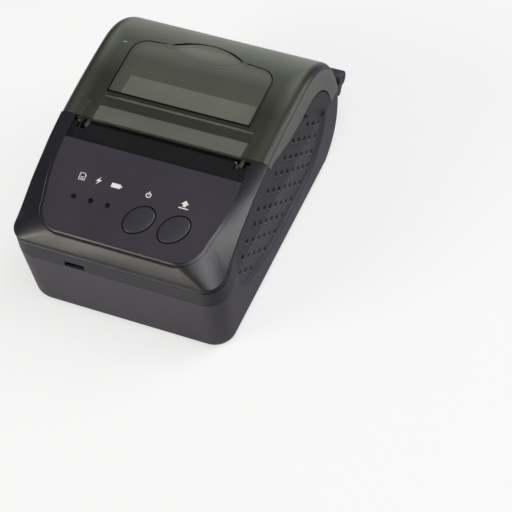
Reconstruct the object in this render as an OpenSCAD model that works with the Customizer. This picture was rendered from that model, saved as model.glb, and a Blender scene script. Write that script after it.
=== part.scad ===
// Portable thermal printer: lower shell, casing, hinged cover, print mechanism, battery and boards.
// Units are millimetres. +Z is up, -Y is the front with the buttons, the origin is bottom centre.

/* [Body] */
// Width across the side walls
body_w = 80; // [76:1:90]
// Length from the front face to the back of the cover
body_l = 107.4; // [104:0.2:120]
// Height over the cover, feet included
body_h = 52; // [50:0.5:56]
// Height of the parting line between lower shell and casing
part_z = 27; // [26:0.5:28]
// Thickness of the shell walls
wall = 2; // [1.6:0.1:2.2]
// Radius of the upright front corners
front_corner_r = 7.5; // [6:0.1:12]
// Radius of the upright rear corners
rear_corner_r = 5; // [3:0.5:7]

/* [Cover] */
// Distance from the front face to the front edge of the cover
cover_front = 47.2; // [46.8:0.1:47.6]
// Half width of the release flap
flap_half_w = 27; // [24:0.5:27.5]
// Distance from the front face to the front edge of the flap
flap_front = 60; // [59.6:0.2:62]
// Length of the flap along its straight sides
flap_len = 24.7; // [22:0.1:26]
// How far the finger arc reaches behind the straight sides
flap_arc = 4.6; // [3:0.1:6]
// Width of the black gap round the flap
flap_gap = 0.4; // [0.3:0.05:0.5]

/* [Hinge] */
// Distance of the hinge axis behind the back wall
hinge_out = 3.2; // [3.1:0.1:4.5]
// Height of the hinge axis
hinge_z = 25.5; // [25:0.1:25.8]
// Outer radius of the hinge knuckles
knuckle_r = 2.8; // [2.4:0.1:2.8]
// Radius of the hinge pin
hinge_pin_r = 0.9; // [0.7:0.05:1.2]

/* [Control panel] */
// Height of the panel's rear edge
panel_rear_z = 48.1; // [47.8:0.1:48.3]
// Height of the panel's front edge
panel_front_z = 40.6; // [40.2:0.1:40.8]
// Half width of the panel at its rear edge
panel_half_w = 33.7; // [33:0.1:34]
// Mean radius of the two oval buttons
button_r = 5.2; // [4:0.1:5.6]
// How much the long half axis of a button exceeds the mean, and the short one falls below it
button_oval = 0.75; // [0:0.05:0.8]
// Angle of the long axis of a button from the line across the panel
button_turn = 50; // [40:5:60]
// Travel of a button
button_travel = 0.7; // [0.4:0.1:0.8]
// Places of the buttons across the panel
button_x = [4.6, 17.8];
// Place of the buttons along the panel, from its middle
button_v = -5.7; // [-8:0.1:-4]
// Places of the three lamps across the panel
lamp_x = [-21.2, -14.7, -8.2];
// Place of the lamps along the panel, from its middle
lamp_v = -3.7; // [-6:0.1:0]
// Radius of a lamp hole
lamp_r = 1.2; // [0.8:0.1:1.5]

/* [Print mechanism] */
// Radius of the rubber platen
platen_r = 5; // [4.5:0.1:5.1]
// Length of the rubber platen
platen_len = 57; // [54:0.5:57]
// Radius of the platen shaft
shaft_r = 1.5; // [1.2:0.1:2]
// Outer radius of the platen bushings
bushing_r = 3; // [2.6:0.1:3.2]
// Radius of the paper roll that the bay takes
roll_r = 20; // [15:0.5:20]
// Gear module
gear_mod = 0.5; // [0.49:0.01:0.51]
// Teeth of the platen gear
platen_teeth = 22; // [21:1:22]
// Teeth of the small wheel of the idler
idler_small_teeth = 12; // [11:1:12]
// Teeth of the large wheel of the idler
idler_large_teeth = 28; // [26:1:29]
// Teeth of the motor pinion
pinion_teeth = 10; // [9:1:10]

/* [Battery] */
// Length of the battery pack across the body
battery_w = 54; // [48:1:56]
// Depth of the battery pack
battery_l = 35; // [30:0.5:35]
// Height of the battery pack
battery_h = 17.5; // [14:0.5:17.5]

/* [Hidden] */
$fn = 48;

half_w = body_w / 2;
overall_l = body_l + hinge_out + knuckle_r;
front_y = -overall_l / 2;
rear_y = front_y + body_l;
hinge_y = rear_y + hinge_out;
base_z = 0.8;
side_taper = 1.3;
front_taper = 1;
bottom_r = 1.5;
fit = 0.05;
seam = 0.25;

// The side view: a half round rear end, one large arc over the top and a flat curved nose.
rear_r = (body_h - base_z) / 2;
rear_cy = rear_y - rear_r;
rear_cz = base_z + rear_r;
nose_r = 14;
nose_back = 12.95;
nose_c = [front_y + nose_back, 29.34];
nose_top = [front_y + 4.5, 40.475];
crown_y = min(rear_cy, nose_top[0] + 77.3);
top_r = (pow(crown_y - nose_top[0], 2) + pow(body_h - nose_top[1], 2)) / (2 * (body_h - nose_top[1]));
top_c = [crown_y, body_h - top_r];

function arc(cx, cy, r, from, to, steps) =
    [for (i = [0:steps]) let (a = from + (to - from) * i / steps) [cx + r * cos(a), cy + r * sin(a)]];
function top_z(y) = y > rear_cy ? rear_cz + sqrt(pow(rear_r, 2) - pow(y - rear_cy, 2))
    : y > crown_y ? body_h
    : top_c[1] + sqrt(pow(top_r, 2) - pow(y - crown_y, 2));
// Where two circles cross, on the left of the way from the first centre to the second.
function crossing(a, ra, b, rb) =
    let (d = norm(b - a), k = (ra * ra - rb * rb + d * d) / (2 * d), h = sqrt(ra * ra - k * k), e = (b - a) / d)
    a + k * e + h * [-e[1], e[0]];
function angle_from(c, p) = atan2(p[1] - c[1], p[0] - c[0]);

// The control panel lies on a slanted plane; u runs across, v up the slope, w out of it.
panel_rear_y = front_y + 38;
panel_front_y = front_y + 4.5;
panel_mid = [0, (panel_rear_y + panel_front_y) / 2, (panel_rear_z + panel_front_z) / 2];
panel_tilt = atan2(panel_rear_z - panel_front_z, panel_rear_y - panel_front_y);
panel_half_l = norm([panel_rear_y - panel_front_y, panel_rear_z - panel_front_z]) / 2;
panel_t = 1.2;
deck_top = -1.35;
deck_t = 1.5;
button_gap = 0.4;
function panel_z(y) = panel_mid[2] + (y - panel_mid[1]) * tan(panel_tilt);

// Places that the cover, flap and mechanism share.
cover_y = front_y + cover_front;
slot_y = cover_y - 1.7;
platen_y = cover_y + 6;
platen_z = 41.5;
flap_y = front_y + flap_front;
flap_pivot = [cover_y + 5.5, 46.6];
arm_in = 28.9;
arm_out = 30.2;
plate_in = 31.3;
plate_out = 32.3;
mech_in = 32.7;
mech_out = 33.7;
gear_b = [34, 35.2];
gear_a = [35.4, 36.6];
motor_axis = [platen_y - 2, platen_z - 17.5];
motor_r = 7.5;
pitch_platen = gear_mod * platen_teeth / 2;
pitch_small = gear_mod * idler_small_teeth / 2;
pitch_large = gear_mod * idler_large_teeth / 2;
pitch_pinion = gear_mod * pinion_teeth / 2;
reach_up = pitch_platen + pitch_small;
reach_down = pitch_large + pitch_pinion;
platen_axis = [platen_y, platen_z];
idler_axis = crossing(platen_axis, reach_up, motor_axis, reach_down);
bay_r = roll_r + 1;
bay_t = 1.2;
bay_half_w = 29.3;
battery_y = panel_rear_y + 3.2 - battery_l;
frame_floor_z = 15;
frame_post_x = [-11, 22];
frame_post_y = platen_y - 1.5;
screw_seat_z = 5.4;
screw_in = [half_w - 6.2, half_w - 5.1];
screw_y = [front_y + 7.2, rear_y - 40.7];
screw_spots = [for (i = [0, 1], side = [-1, 1]) [side * screw_in[i], screw_y[i]]];
foot_in = half_w - 6.6;
foot_spots = [for (y = [front_y + 15, rear_y - 31.7], side = [-1, 1]) [side * foot_in, y]];

// Extrusions of a side view along X, and of a front view along Y.
module along_x(x0, x1) {
    translate([x0, 0, 0])
        rotate([90, 0, 90])
            linear_extrude(x1 - x0)
                children();
}
module along_y(y0, y1) {
    translate([0, y1, 0])
        rotate([90, 0, 0])
            linear_extrude(y1 - y0)
                children();
}
module both_sides() {
    children();
    mirror([1, 0, 0])
        children();
}
module on_panel() {
    translate(panel_mid)
        rotate([panel_tilt, 0, 0])
            children();
}

module side_shape(t) {
    turn = crossing(top_c, top_r - t, nose_c, nose_r - t);
    polygon(concat(
        arc(front_y + front_taper + bottom_r, base_z + bottom_r, bottom_r - min(t, bottom_r - 0.1), 270, 190, 3),
        [[front_y + t, part_z]],
        arc(nose_c[0], nose_c[1], nose_r - t, acos((t - nose_back) / (nose_r - t)), angle_from(nose_c, turn), 8),
        arc(top_c[0], top_c[1], top_r - t, angle_from(top_c, turn) - 0.05, 90, 12),
        arc(rear_cy, rear_cz, rear_r - t, 90, -90, 24)
    ));
}
module plan_shape(t) {
    cf = front_corner_r;
    cr = rear_corner_r;
    polygon(concat(
        arc(-half_w + cf, front_y + cf, cf - t, 180, 270, 8),
        arc(half_w - cf, front_y + cf, cf - t, 270, 360, 8),
        arc(half_w - cr, rear_y - cr, cr - t, 0, 90, 6),
        arc(-half_w + cr, rear_y - cr, cr - t, 90, 180, 6)
    ));
}
module front_shape(t) {
    low = half_w - side_taper - t;
    high = half_w - t;
    polygon([[-low, 0], [low, 0], [high, part_z], [high, body_h + 1], [-high, body_h + 1], [-high, part_z]]);
}
// The whole body, shrunk by t on every face.
module body_solid(t) {
    intersection() {
        along_x(-half_w, half_w)
            side_shape(t);
        linear_extrude(body_h + 1)
            plan_shape(t);
        along_y(front_y - 1, rear_y + 1)
            front_shape(t);
    }
}

// The lower edge of the bezel, seen from the side.
bezel_line = [
    [front_y - 1, 34.6], [front_y + 6.7, 35.6], [front_y + 12.7, 37.7],
    [front_y + 21.2, 41.3], [front_y + 31, 44.4], [front_y + 37, 46.2], [cover_y - 0.2, 48.2]
];
// The slope of the side rails from the panel down to the bezel's lower edge, moved inwards by t.
rail_edge = 0.3;
module rail_cut(t) {
    inner = panel_half_w + 0.1;
    n = len(bezel_line);
    points = [for (i = [0:n - 1])
        let (p = bezel_line[i] + (i < n - 1 ? [0, 0] : [1, 0.2]))
        let (fall = (top_z(p[0]) - 0.1 - p[1] - rail_edge) / (half_w - inner), high = top_z(p[0]) - 0.1 - 1.2 * t)
        each [[inner, p[0], high], [half_w + 1, p[0], high - fall * (half_w + 1 - inner)],
            [half_w + 1, p[0], body_h + 8], [inner, p[0], body_h + 8]]];
    faces = concat(
        [[3, 2, 1, 0], [for (k = [0:3]) 4 * (n - 1) + k]],
        [for (i = [0:n - 2], k = [0:3])
            let (a = 4 * i + k, b = 4 * i + (k + 1) % 4)
            each [[a, b, b + 4], [a, b + 4, a + 4]]]
    );
    both_sides()
        polyhedron(points, faces);
}
// The lower edge of the cover's skirt, seen from the side; it ends round the casing's tongue.
tongue_y = rear_y - 10.3;
skirt_line = concat(
    [[cover_y, 48.2], [2.4, 44.8], [10.1, 43.7], [19.5, 43.4]],
    arc(tongue_y - 15.5, 27.9, 15.5, 86, 0, 8)
);
module bezel_side(drop) {
    polygon(concat(
        [for (p = bezel_line) [p[0], p[1] - drop]],
        [[cover_y - 0.2, body_h + 2], [front_y - 1, body_h + 2]]
    ));
}
module cover_side() {
    polygon(concat(
        [[rear_y + 1, body_h + 2], [cover_y, body_h + 2]],
        skirt_line,
        [[tongue_y, part_z + seam], [rear_y + 1, part_z + seam]]
    ));
}
module casing_side(gap) {
    polygon(concat(
        [[front_y - 1, part_z]],
        [for (i = [0:len(bezel_line) - 2]) [bezel_line[i][0], bezel_line[i][1] - gap]],
        [[cover_y - 0.1, 48.2 - gap]],
        [for (i = [1:len(skirt_line) - 1]) [skirt_line[i][0] - gap, skirt_line[i][1] - gap]],
        [[tongue_y - gap, part_z]]
    ));
}
// The sunk grip field on each side: flat below, round behind, open towards the bezel.
module leaf_side() {
    f = front_y;
    r = rear_y;
    polygon(concat(
        [[f + 14, 22], [f + 17.7, 17.8], [f + 22.8, 14.7], [f + 29.1, 12.6], [f + 37.8, 11], [f + 49, 10.3]],
        arc(r - 31.1, 26.6, 16.3, 262, 360, 8),
        [[r - 28.3, 38.9], [cover_y + 15.5, 42.3], [cover_y - 2.5, 45.5], [f + 26.7, 40], [f + 14, 35]]
    ));
}
leaf_depth = 1;

module leaf_cuts() {
    both_sides()
        along_x(half_w - leaf_depth - 0.3, half_w + 1)
            leaf_side();
}

module lower_shell() {
    color("#3a383d")
    difference() {
        union() {
            difference() {
                intersection() {
                    body_solid(0);
                    translate([-half_w, front_y, 0])
                        cube([body_w, body_l, part_z]);
                }
                difference() {
                    body_solid(wall);
                    translate([-half_w, front_y, 0])
                        cube([body_w, body_l, base_z + wall]);
                }
                leaf_cuts();
            }
            battery_walls();
            for (p = screw_spots)
                translate([p[0], p[1], base_z + 1])
                    cylinder(h = part_z - base_z - 1, r = 3.2);
            for (x = frame_post_x)
                translate([x, frame_post_y, base_z + 1])
                    cylinder(h = frame_floor_z - base_z - 1, r = 2.6);
            both_sides()
                shell_knuckle();
            for (x = [-22, 22])
                bay_rib(x);
        }
        translate([-29.9, battery_y - 0.3, -1])
            cube([59.8, battery_l + 0.6, base_z + wall + 2]);
        for (p = screw_spots)
            translate([p[0], p[1], -1]) {
                cylinder(h = part_z + 2, r = 1.45);
                cylinder(h = screw_seat_z + 1, r = 2.4);
            }
        for (x = frame_post_x)
            translate([x, frame_post_y, frame_floor_z - 8])
                cylinder(h = 9, r = 0.8);
        for (p = foot_spots)
            translate([p[0], p[1], -1])
                cylinder(h = base_z + 1.7, r = 3.3);
        hinge_bore();
    }
}
// Four walls round the battery, standing on the shell floor.
module battery_walls() {
    translate([-31.2, battery_y - 1.5, base_z + 0.5])
        difference() {
            cube([62.4, battery_l + 3, 16]);
            translate([1.3, 1.3, -1])
                cube([59.8, battery_l + 0.4, 18]);
        }
}
// A rib under the paper bay.
module bay_rib(x) {
    intersection() {
        along_x(x - 0.8, x + 0.8)
            difference() {
                translate([4, base_z + 0.5])
                    square([rear_y - 8, 12]);
                translate([rear_cy, rear_cz])
                    circle(r = bay_r + bay_t + 0.1);
            }
        body_solid(wall / 2);
    }
}
knuckle_split = half_w - 8.65;
module shell_knuckle() {
    along_x(knuckle_split + 0.15, half_w - 1) {
        translate([hinge_y, hinge_z])
            circle(r = knuckle_r);
        polygon([[rear_y - 1.5, 21], [rear_y, 21], [hinge_y, 23], [hinge_y, hinge_z], [rear_y - 1.5, hinge_z]]);
    }
}
module hinge_bore() {
    translate([-half_w, hinge_y, hinge_z])
        rotate([0, 90, 0])
            cylinder(h = body_w, r = hinge_pin_r + fit);
}

module upper_casing() {
    color("#403d43")
    difference() {
        union() {
            difference() {
                union() {
                    difference() {
                        intersection() {
                            body_solid(0);
                            along_x(-half_w, half_w)
                                casing_side(seam);
                        }
                        body_solid(wall + 0.5);
                        leaf_cuts();
                    }
                    casing_inner();
                }
                translate([5.4 - half_w, front_y + 9, 30])
                    cube([body_w - 10.8, body_l, body_h]);
            }
            difference() {
                union() {
                    deck();
                    for (p = screw_spots)
                        casing_post(p);
                }
                rail_cut(1.75);
            }
            both_sides()
                latch_catch();
        }
        for (x = button_x)
            on_panel()
                translate([x, button_v, deck_top - deck_t - 1])
                    linear_extrude(deck_t + 2)
                        oval(button_gap);
        for (x = lamp_x)
            on_panel()
                translate([x, lamp_v, deck_top - deck_t - 1])
                    cylinder(h = deck_t + 2, r = lamp_r + 0.1);
        translate([usb_x - 3.9, front_y - 1, part_z - 1])
            cube([7.8, 6, 3.9]);
        for (p = screw_spots)
            translate([p[0], p[1], part_z - 1])
                cylinder(h = 8, r = 1.25);
    }
}
usb_x = -15.1;
// The wall that runs up inside the bezel and carries the deck.
module casing_inner() {
    intersection() {
        difference() {
            body_solid(1.7);
            body_solid(5.4);
            rail_cut(1.75);
        }
        along_x(-half_w, half_w)
            polygon([
                [front_y, 30], [front_y + 12, 30], [cover_y - 6, 40], [cover_y - 0.4, 41],
                [cover_y - 0.4, panel_z(cover_y) - 2.2], [front_y, panel_z(front_y) - 2.2]
            ]);
    }
}
// The plate under the panel; behind the panel it is the sunk surface in front of the paper slot.
module deck() {
    intersection() {
        body_solid(1.8);
        difference() {
            on_panel()
                translate([2 - half_w, -25, deck_top - deck_t])
                    cube([body_w - 4, 70, deck_t]);
            translate([-half_w, slot_y, 30])
                cube([body_w, 30, 30]);
            both_sides()
                translate([27.9, slot_y - 2.4, 30])
                    cube([4.2, 5, 30]);
        }
    }
    both_sides()
        translate([half_w - 6.2, slot_y - 2, panel_z(slot_y) - 5.6])
            cube([4, 1.9, 3]);
}
module casing_post(p) {
    top = p[1] < 0 ? panel_z(p[1]) - 2.5 : 35;
    intersection() {
        translate([p[0], p[1], part_z])
            cylinder(h = top - part_z, r = 2.8);
        body_solid(1.8);
    }
}
// The ledge that each hook of the flap reaches under.
module latch_catch() {
    translate([28.2, slot_y - 3.4, 43.6])
        cube([3.6, 0.95, 3.6]);
    translate([28.2, slot_y - 3.4, 43.6])
        cube([3.6, catch_reach, 1.2]);
}
catch_reach = 2.1;

module panel_outline(grow) {
    side_c = panel_half_w - 75;
    side_end = asin((panel_half_l - 14.4) / 75);
    polygon(concat(
        arc(21.2, -panel_half_l + 9.4, 9.4 + grow, 270, 360, 6),
        arc(side_c, 14, 75 + grow, -15, side_end, 6),
        [[panel_half_w + grow, panel_half_l + grow], [-panel_half_w - grow, panel_half_l + grow]],
        arc(-side_c, 14, 75 + grow, 180 - side_end, 195, 6),
        arc(-21.2, -panel_half_l + 9.4, 9.4 + grow, 180, 270, 6)
    ));
}
module front_bezel() {
    color("#4b484e")
    difference() {
        intersection() {
            union() {
                difference() {
                    body_solid(0);
                    body_solid(1.5);
                }
                intersection() {
                    body_solid(0);
                    rail_cut(1.5);
                }
            }
            along_x(-half_w, half_w)
                bezel_side(0);
        }
        rail_cut(0);
        on_panel()
            translate([0, 0, -4])
                linear_extrude(12) {
                    panel_outline(0.1);
                    translate([-panel_half_w - 0.1, 10])
                        square([2 * panel_half_w + 0.2, 30]);
                }
    }
}
module control_panel() {
    color("#322f37")
    on_panel()
        translate([0, 0, -panel_t])
            difference() {
                linear_extrude(panel_t)
                    panel_outline(-0.05);
                for (x = button_x)
                    translate([x, button_v, -1])
                        linear_extrude(panel_t + 2)
                            oval(button_gap);
                for (x = lamp_x)
                    translate([x, lamp_v, -1])
                        cylinder(h = panel_t + 2, r = lamp_r);
            }
}

// The outline of a button, grown on every side.
module oval(grow) {
    long = button_r + button_oval + grow;
    short = button_r - button_oval + grow;
    rotate(button_turn)
        polygon([for (a = [0:10:350]) [long * cos(a), short * sin(a)]]);
}
// A button cap with a flange under the deck and a stem that enters its switch.
module button(x) {
    color("#3b3840")
    on_panel()
        translate([x, button_v, 0]) {
            translate([0, 0, -3.2])
                linear_extrude(3.7)
                    oval(0);
            translate([0, 0, -4.2])
                linear_extrude(1.1)
                    oval(1);
            translate([0, 0, -6])
                cylinder(h = 2, r = 1.6);
        }
}
module switch_case(x) {
    color("#1d1d1f")
    on_panel()
        translate([x, button_v, 0])
            difference() {
                translate([-3.1, -3.1, -8.6])
                    cube([6.2, 6.2, 3.4]);
                translate([0, 0, -7.2])
                    cylinder(h = 4, r = 1.75);
            }
}
module power_button() {
    button(button_x[0]);
}
module feed_button() {
    button(button_x[1]);
}
module power_switch() {
    switch_case(button_x[0]);
}
module feed_switch() {
    switch_case(button_x[1]);
}
module key_board() {
    color("#1f4d33")
    on_panel()
        difference() {
            translate([-27, -12, -9.8])
                cube([54, 15, 1.2]);
            for (x = [-24.5, 24.5])
                translate([x, 0.5, -10])
                    cylinder(h = 2, r = 1.1);
        }
    color("#403d43")
    for (x = [-24.5, 24.5])
        on_panel()
            translate([x, 0.5, -8.6])
                cylinder(h = 8.57 + deck_top - deck_t, r = 1.8);
}
module status_leds() {
    color("#e8e4d4")
    for (x = lamp_x)
        on_panel()
            translate([x - 0.8, lamp_v - 0.5, -8.6])
                cube([1.6, 1, 0.8]);
}
module light_guides() {
    color("#8c8c8a")
    for (x = lamp_x)
        on_panel()
            translate([x, lamp_v, -7.75]) {
                cylinder(h = 6.85, r = lamp_r - 0.1);
                cylinder(h = 4.6, r = lamp_r + 0.5);
            }
}

module main_board() {
    color("#1f4d33")
    translate([-30, front_y + wall + 0.4, part_z - 1.6])
        difference() {
            cube([60, 38, 1.6]);
            for (x = [3, 57], y = [3, 35])
                translate([x, y, -1])
                    cylinder(h = 4, r = 1.3);
        }
}
module board_chips() {
    color("#141416") {
        translate([-6, front_y + 14, part_z])
            cube([10, 10, 1.5]);
        translate([9, front_y + 22, part_z])
            cube([6, 4, 1.3]);
        translate([-20, front_y + 20, part_z])
            cube([7, 7, 1.6]);
        translate([18, front_y + 31, part_z])
            cube([9, 4.5, 4]);
    }
}
module radio_module() {
    color("#b9bcbe")
    translate([12, front_y + 5, part_z])
        cube([14, 11, 2]);
}
module usb_socket() {
    color("#c9cbcd")
    translate([usb_x - 3.7, front_y + 1, part_z + fit])
        difference() {
            cube([7.4, 5.6, 2.6]);
            translate([0.3, -1, 0.3])
                cube([6.8, 5.4, 2]);
        }
    color("#1a1a1c")
    translate([usb_x - 2.2, front_y + 1.6, part_z + 1.05])
        cube([4.4, 5, 0.7]);
}
module battery() {
    r = battery_h / 2;
    z = base_z + wall + 0.4 + r;
    color("#2d4f7c")
    along_x(-battery_w / 2, battery_w / 2)
        polygon(concat(
            arc(battery_y + r + 0.3, z, r, 90, 270, 12),
            arc(battery_y + battery_l - r - 0.3, z, r, -90, 90, 12)
        ));
}
module battery_contacts() {
    color("#c8b070")
    for (y = [10, 14, 18])
        translate([battery_w / 2 + 0.2, battery_y + y, base_z + 8])
            cube([2.6, 1.6, 5]);
}
door_l = battery_l + 0.2;
module battery_door() {
    color("#39373c")
    difference() {
        union() {
            translate([-29.6, battery_y - 0.1, base_z])
                cube([59.2, door_l, 1.5]);
            for (x = [-18, 18])
                translate([x - 3, battery_y + battery_l - 1.6, base_z + 1])
                    cube([6, 1.4, 1.6]);
        }
        for (y = [4:1.6:10])
            translate([-7, battery_y + y, base_z - 1])
                cube([14, 0.7, 1.4]);
    }
}
module head_ribbon() {
    color("#c98b4a")
    along_x(-12, 12)
        polygon([
            [head_y - 3.1, 34.6], [head_y - 6.2, 30.4], [panel_rear_y - 1, 27.35], [panel_rear_y - 4, 27.35],
            [panel_rear_y - 4, 27.05], [panel_rear_y - 0.9, 27.05], [head_y - 6, 30.1], [head_y - 2.85, 34.4]
        ]);
}

// The thermal head stands in front of the platen and tilts on a pin at its foot.
head_y = platen_y - platen_r - fit;
head_pivot = [head_y - 1.8, 32.6];
module thermal_head() {
    color("#e6e2d6")
    translate([-27, head_y - 1, 35.4])
        cube([54, 1, 9.6]);
}
module head_heatsink() {
    color("#a9acb0")
    difference() {
        union() {
            translate([-28.4, head_y - 2.6, 33])
                cube([56.8, 1.6, 11.6]);
            translate([-28.4, head_pivot[0], head_pivot[1]])
                rotate([0, 90, 0])
                    cylinder(h = 56.8, r = 1.7);
        }
        translate([-half_w, head_pivot[0], head_pivot[1]])
            rotate([0, 90, 0])
                cylinder(h = body_w, r = 0.85);
    }
}
module head_pivot_pin() {
    color("#bfc2c6")
    translate([-mech_out, head_pivot[0], head_pivot[1]])
        rotate([0, 90, 0])
            cylinder(h = 2 * mech_out, r = 0.8);
}

// A round wire along a list of places, each with its own sideways direction.
module wire_tube(path, sides, up, r, n = 6) {
    rings = len(path);
    points = [
        for (i = [0:rings - 1], k = [0:n - 1])
            path[i] + r * (cos(360 * k / n) * sides[i] + sin(360 * k / n) * up)
    ];
    faces = concat(
        [[for (k = [0:n - 1]) k]],
        [for (i = [0:rings - 2], k = [0:n - 1])
            let (a = i * n + k, b = i * n + (k + 1) % n)
            [a, a + n, b + n, b]],
        [[for (k = [n - 1:-1:0]) (rings - 1) * n + k]]
    );
    polyhedron(points, faces);
}
function turn(a) = [cos(a), sin(a), 0];
function tangent(a) = [-sin(a), cos(a), 0];
// A coil with straight legs of the given lengths at both ends, wound round +Z.
module coil(r, wire, turns, length, leg_a, leg_b, start, steps = 14) {
    n = round(turns * steps);
    sweep = 360 * turns;
    body = [for (i = [0:n]) let (a = start + sweep * i / n) r * turn(a) + [0, 0, length * i / n]];
    normals = [for (i = [0:n]) turn(start + sweep * i / n)];
    last = start + sweep;
    head = leg_a > 0 ? [body[0] - leg_a * tangent(start)] : [];
    tail = leg_b > 0 ? [body[n] + leg_b * tangent(last)] : [];
    wire_tube(
        concat(head, body, tail),
        concat(leg_a > 0 ? [turn(start)] : [], normals, leg_b > 0 ? [turn(last)] : []),
        [0, 0, 1], wire
    );
}
module head_springs() {
    color("#c4c7ca")
    for (x = [-14, 14])
        translate([x, frame_front_y + 1.24, platen_z])
            rotate([-90, 0, 0])
                coil(1.6, 0.22, 5, head_y - 4.36 - frame_front_y, 0, 0, 0);
}

frame_front_y = head_y - 8;
frame_rear_y = platen_y + 4.2;
// Pressed frame: two cheeks with cradles for the platen bushings, a cross wall and a floor.
module mechanism_frame() {
    color("#8f9296")
    difference() {
        union() {
            both_sides()
                along_x(mech_in, mech_out)
                    difference() {
                        polygon([
                            [frame_front_y, 30], [frame_rear_y - 14.2, 22], [frame_rear_y - 14.2, frame_floor_z],
                            [frame_rear_y, frame_floor_z], [frame_rear_y, 43],
                            [platen_y - 4.6, 43], [head_y, 44.5], [frame_front_y, 44.5]
                        ]);
                        bushing_path();
                    }
            translate([-mech_out, frame_front_y, 34])
                cube([2 * mech_out, 1, 10]);
            translate([-mech_out, frame_rear_y - 14.2, frame_floor_z])
                cube([2 * mech_out, 14.2, 1]);
        }
        for (x = frame_post_x)
            translate([x, frame_post_y, frame_floor_z - 1])
                cylinder(h = 3, r = 0.9);
        translate([-half_w, head_pivot[0], head_pivot[1]])
            rotate([0, 90, 0])
                cylinder(h = body_w, r = 0.8);
        translate([-mech_out - 1, motor_axis[0], motor_axis[1]])
            rotate([0, 90, 0])
                cylinder(h = 3, r = 2);
        translate([-mech_out - 1, idler_axis[0], idler_axis[1]])
            rotate([0, 90, 0])
                cylinder(h = 3, r = 1);
    }
}
// The way that a bushing takes out of its cradle when the cover lifts.
module bushing_path() {
    translate([platen_y, platen_z]) {
        circle(r = bushing_r + 0.15);
        rotate(-lift_lean)
            translate([-bushing_r - 0.15, 0])
                square([2 * bushing_r + 0.9, 10]);
    }
}
lift_lean = atan2(platen_z - hinge_z, hinge_y - platen_y);

module stepper_motor() {
    color("#a2a5a8")
    translate([-mech_in, motor_axis[0], motor_axis[1]])
        rotate([0, 90, 0])
            difference() {
                union() {
                    cylinder(h = 1.2, r = motor_r);
                    cylinder(h = 17, r = motor_r - 0.3);
                }
                translate([0, 0, -1])
                    cylinder(h = 9.2, r = motor_shaft_r + fit);
            }
}
motor_shaft_r = 0.75;
module motor_shaft() {
    color("#c4c7ca")
    translate([-gear_a[1], motor_axis[0], motor_axis[1]])
        rotate([0, 90, 0])
            cylinder(h = gear_a[1] - mech_in + 8, r = motor_shaft_r);
}

// A toothed wheel in the XY plane with one tooth at the given angle.
module gear(teeth, h, bore, tooth_at) {
    pitch = gear_mod * teeth / 2;
    tip = pitch + 0.85 * gear_mod;
    root = pitch - 1.15 * gear_mod;
    step = 360 / teeth;
    difference() {
        linear_extrude(h)
            polygon([
                for (i = [0:teeth - 1])
                    let (a = tooth_at + i * step)
                    for (q = [[root, -0.34], [pitch, -0.2], [tip, -0.09], [tip, 0.09], [pitch, 0.2], [root, 0.34]])
                        q[0] * [cos(a + q[1] * step), sin(a + q[1] * step)]
            ]);
        translate([0, 0, -1])
            cylinder(h = h + 2, r = bore);
    }
}
// Lays a wheel drawn in the XY plane onto a side view plane, so that X of the wheel is Y.
module wheel_at(axis, x) {
    translate([x, axis[0], axis[1]])
        rotate([90, 0, 90])
            children();
}
angle_up = atan2(platen_axis[1] - idler_axis[1], platen_axis[0] - idler_axis[0]);
angle_down = atan2(motor_axis[1] - idler_axis[1], motor_axis[0] - idler_axis[0]);
module idler_gear() {
    color("#e9e5da")
    wheel_at(idler_axis, -gear_a[1]) {
        gear(idler_large_teeth, gear_a[1] - gear_a[0], 1.05, angle_down);
        translate([0, 0, gear_a[1] - gear_a[0] - 0.01])
            gear(idler_small_teeth, gear_b[1] - gear_b[0] + 0.21, 1.05, angle_up);
    }
}
module idler_post() {
    color("#bfc2c6")
    translate([-gear_a[1] - 0.2, idler_axis[0], idler_axis[1]])
        rotate([0, 90, 0])
            cylinder(h = gear_a[1] + 0.2 - mech_in, r = 1);
}
module motor_pinion() {
    color("#c9a24a")
    wheel_at(motor_axis, -gear_a[1])
        gear(pinion_teeth, gear_a[1] - gear_a[0], motor_shaft_r, angle_down + 180 + 180 / pinion_teeth);
}
module platen_gear() {
    color("#e9e5da")
    wheel_at(platen_axis, -gear_b[1])
        gear(platen_teeth, gear_b[1] - gear_b[0], shaft_r, angle_up + 180 + 180 / platen_teeth);
}
module platen_shaft() {
    color("#c4c7ca")
    translate([-gear_b[1], platen_y, platen_z])
        rotate([0, 90, 0])
            cylinder(h = gear_b[1] + mech_out, r = shaft_r);
}
module platen_roller() {
    color("#2c2c2e")
    translate([-platen_len / 2, platen_y, platen_z])
        rotate([0, 90, 0])
            difference() {
                cylinder(h = platen_len, r = platen_r);
                translate([0, 0, -1])
                    cylinder(h = platen_len + 2, r = shaft_r);
            }
}
module platen_bushings() {
    color("#b88a3e")
    both_sides()
        translate([plate_in, platen_y, platen_z])
            rotate([0, 90, 0])
                difference() {
                    cylinder(h = mech_out - plate_in, r = bushing_r);
                    translate([0, 0, -1])
                        cylinder(h = 5, r = shaft_r + 0.04);
                }
}

module tear_bar() {
    n = 36;
    half = 27.4;
    color("#2b2b2d")
    along_y(slot_y + 0.05, slot_y + 0.65)
        polygon(concat(
            [[-half, 45.2], [half, 45.2]],
            [for (i = [0:2 * n]) [half - i * half / n, panel_z(slot_y) - 1.4 + (i % 2 == 0 ? 0 : 0.5)]]
        ));
}

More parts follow.
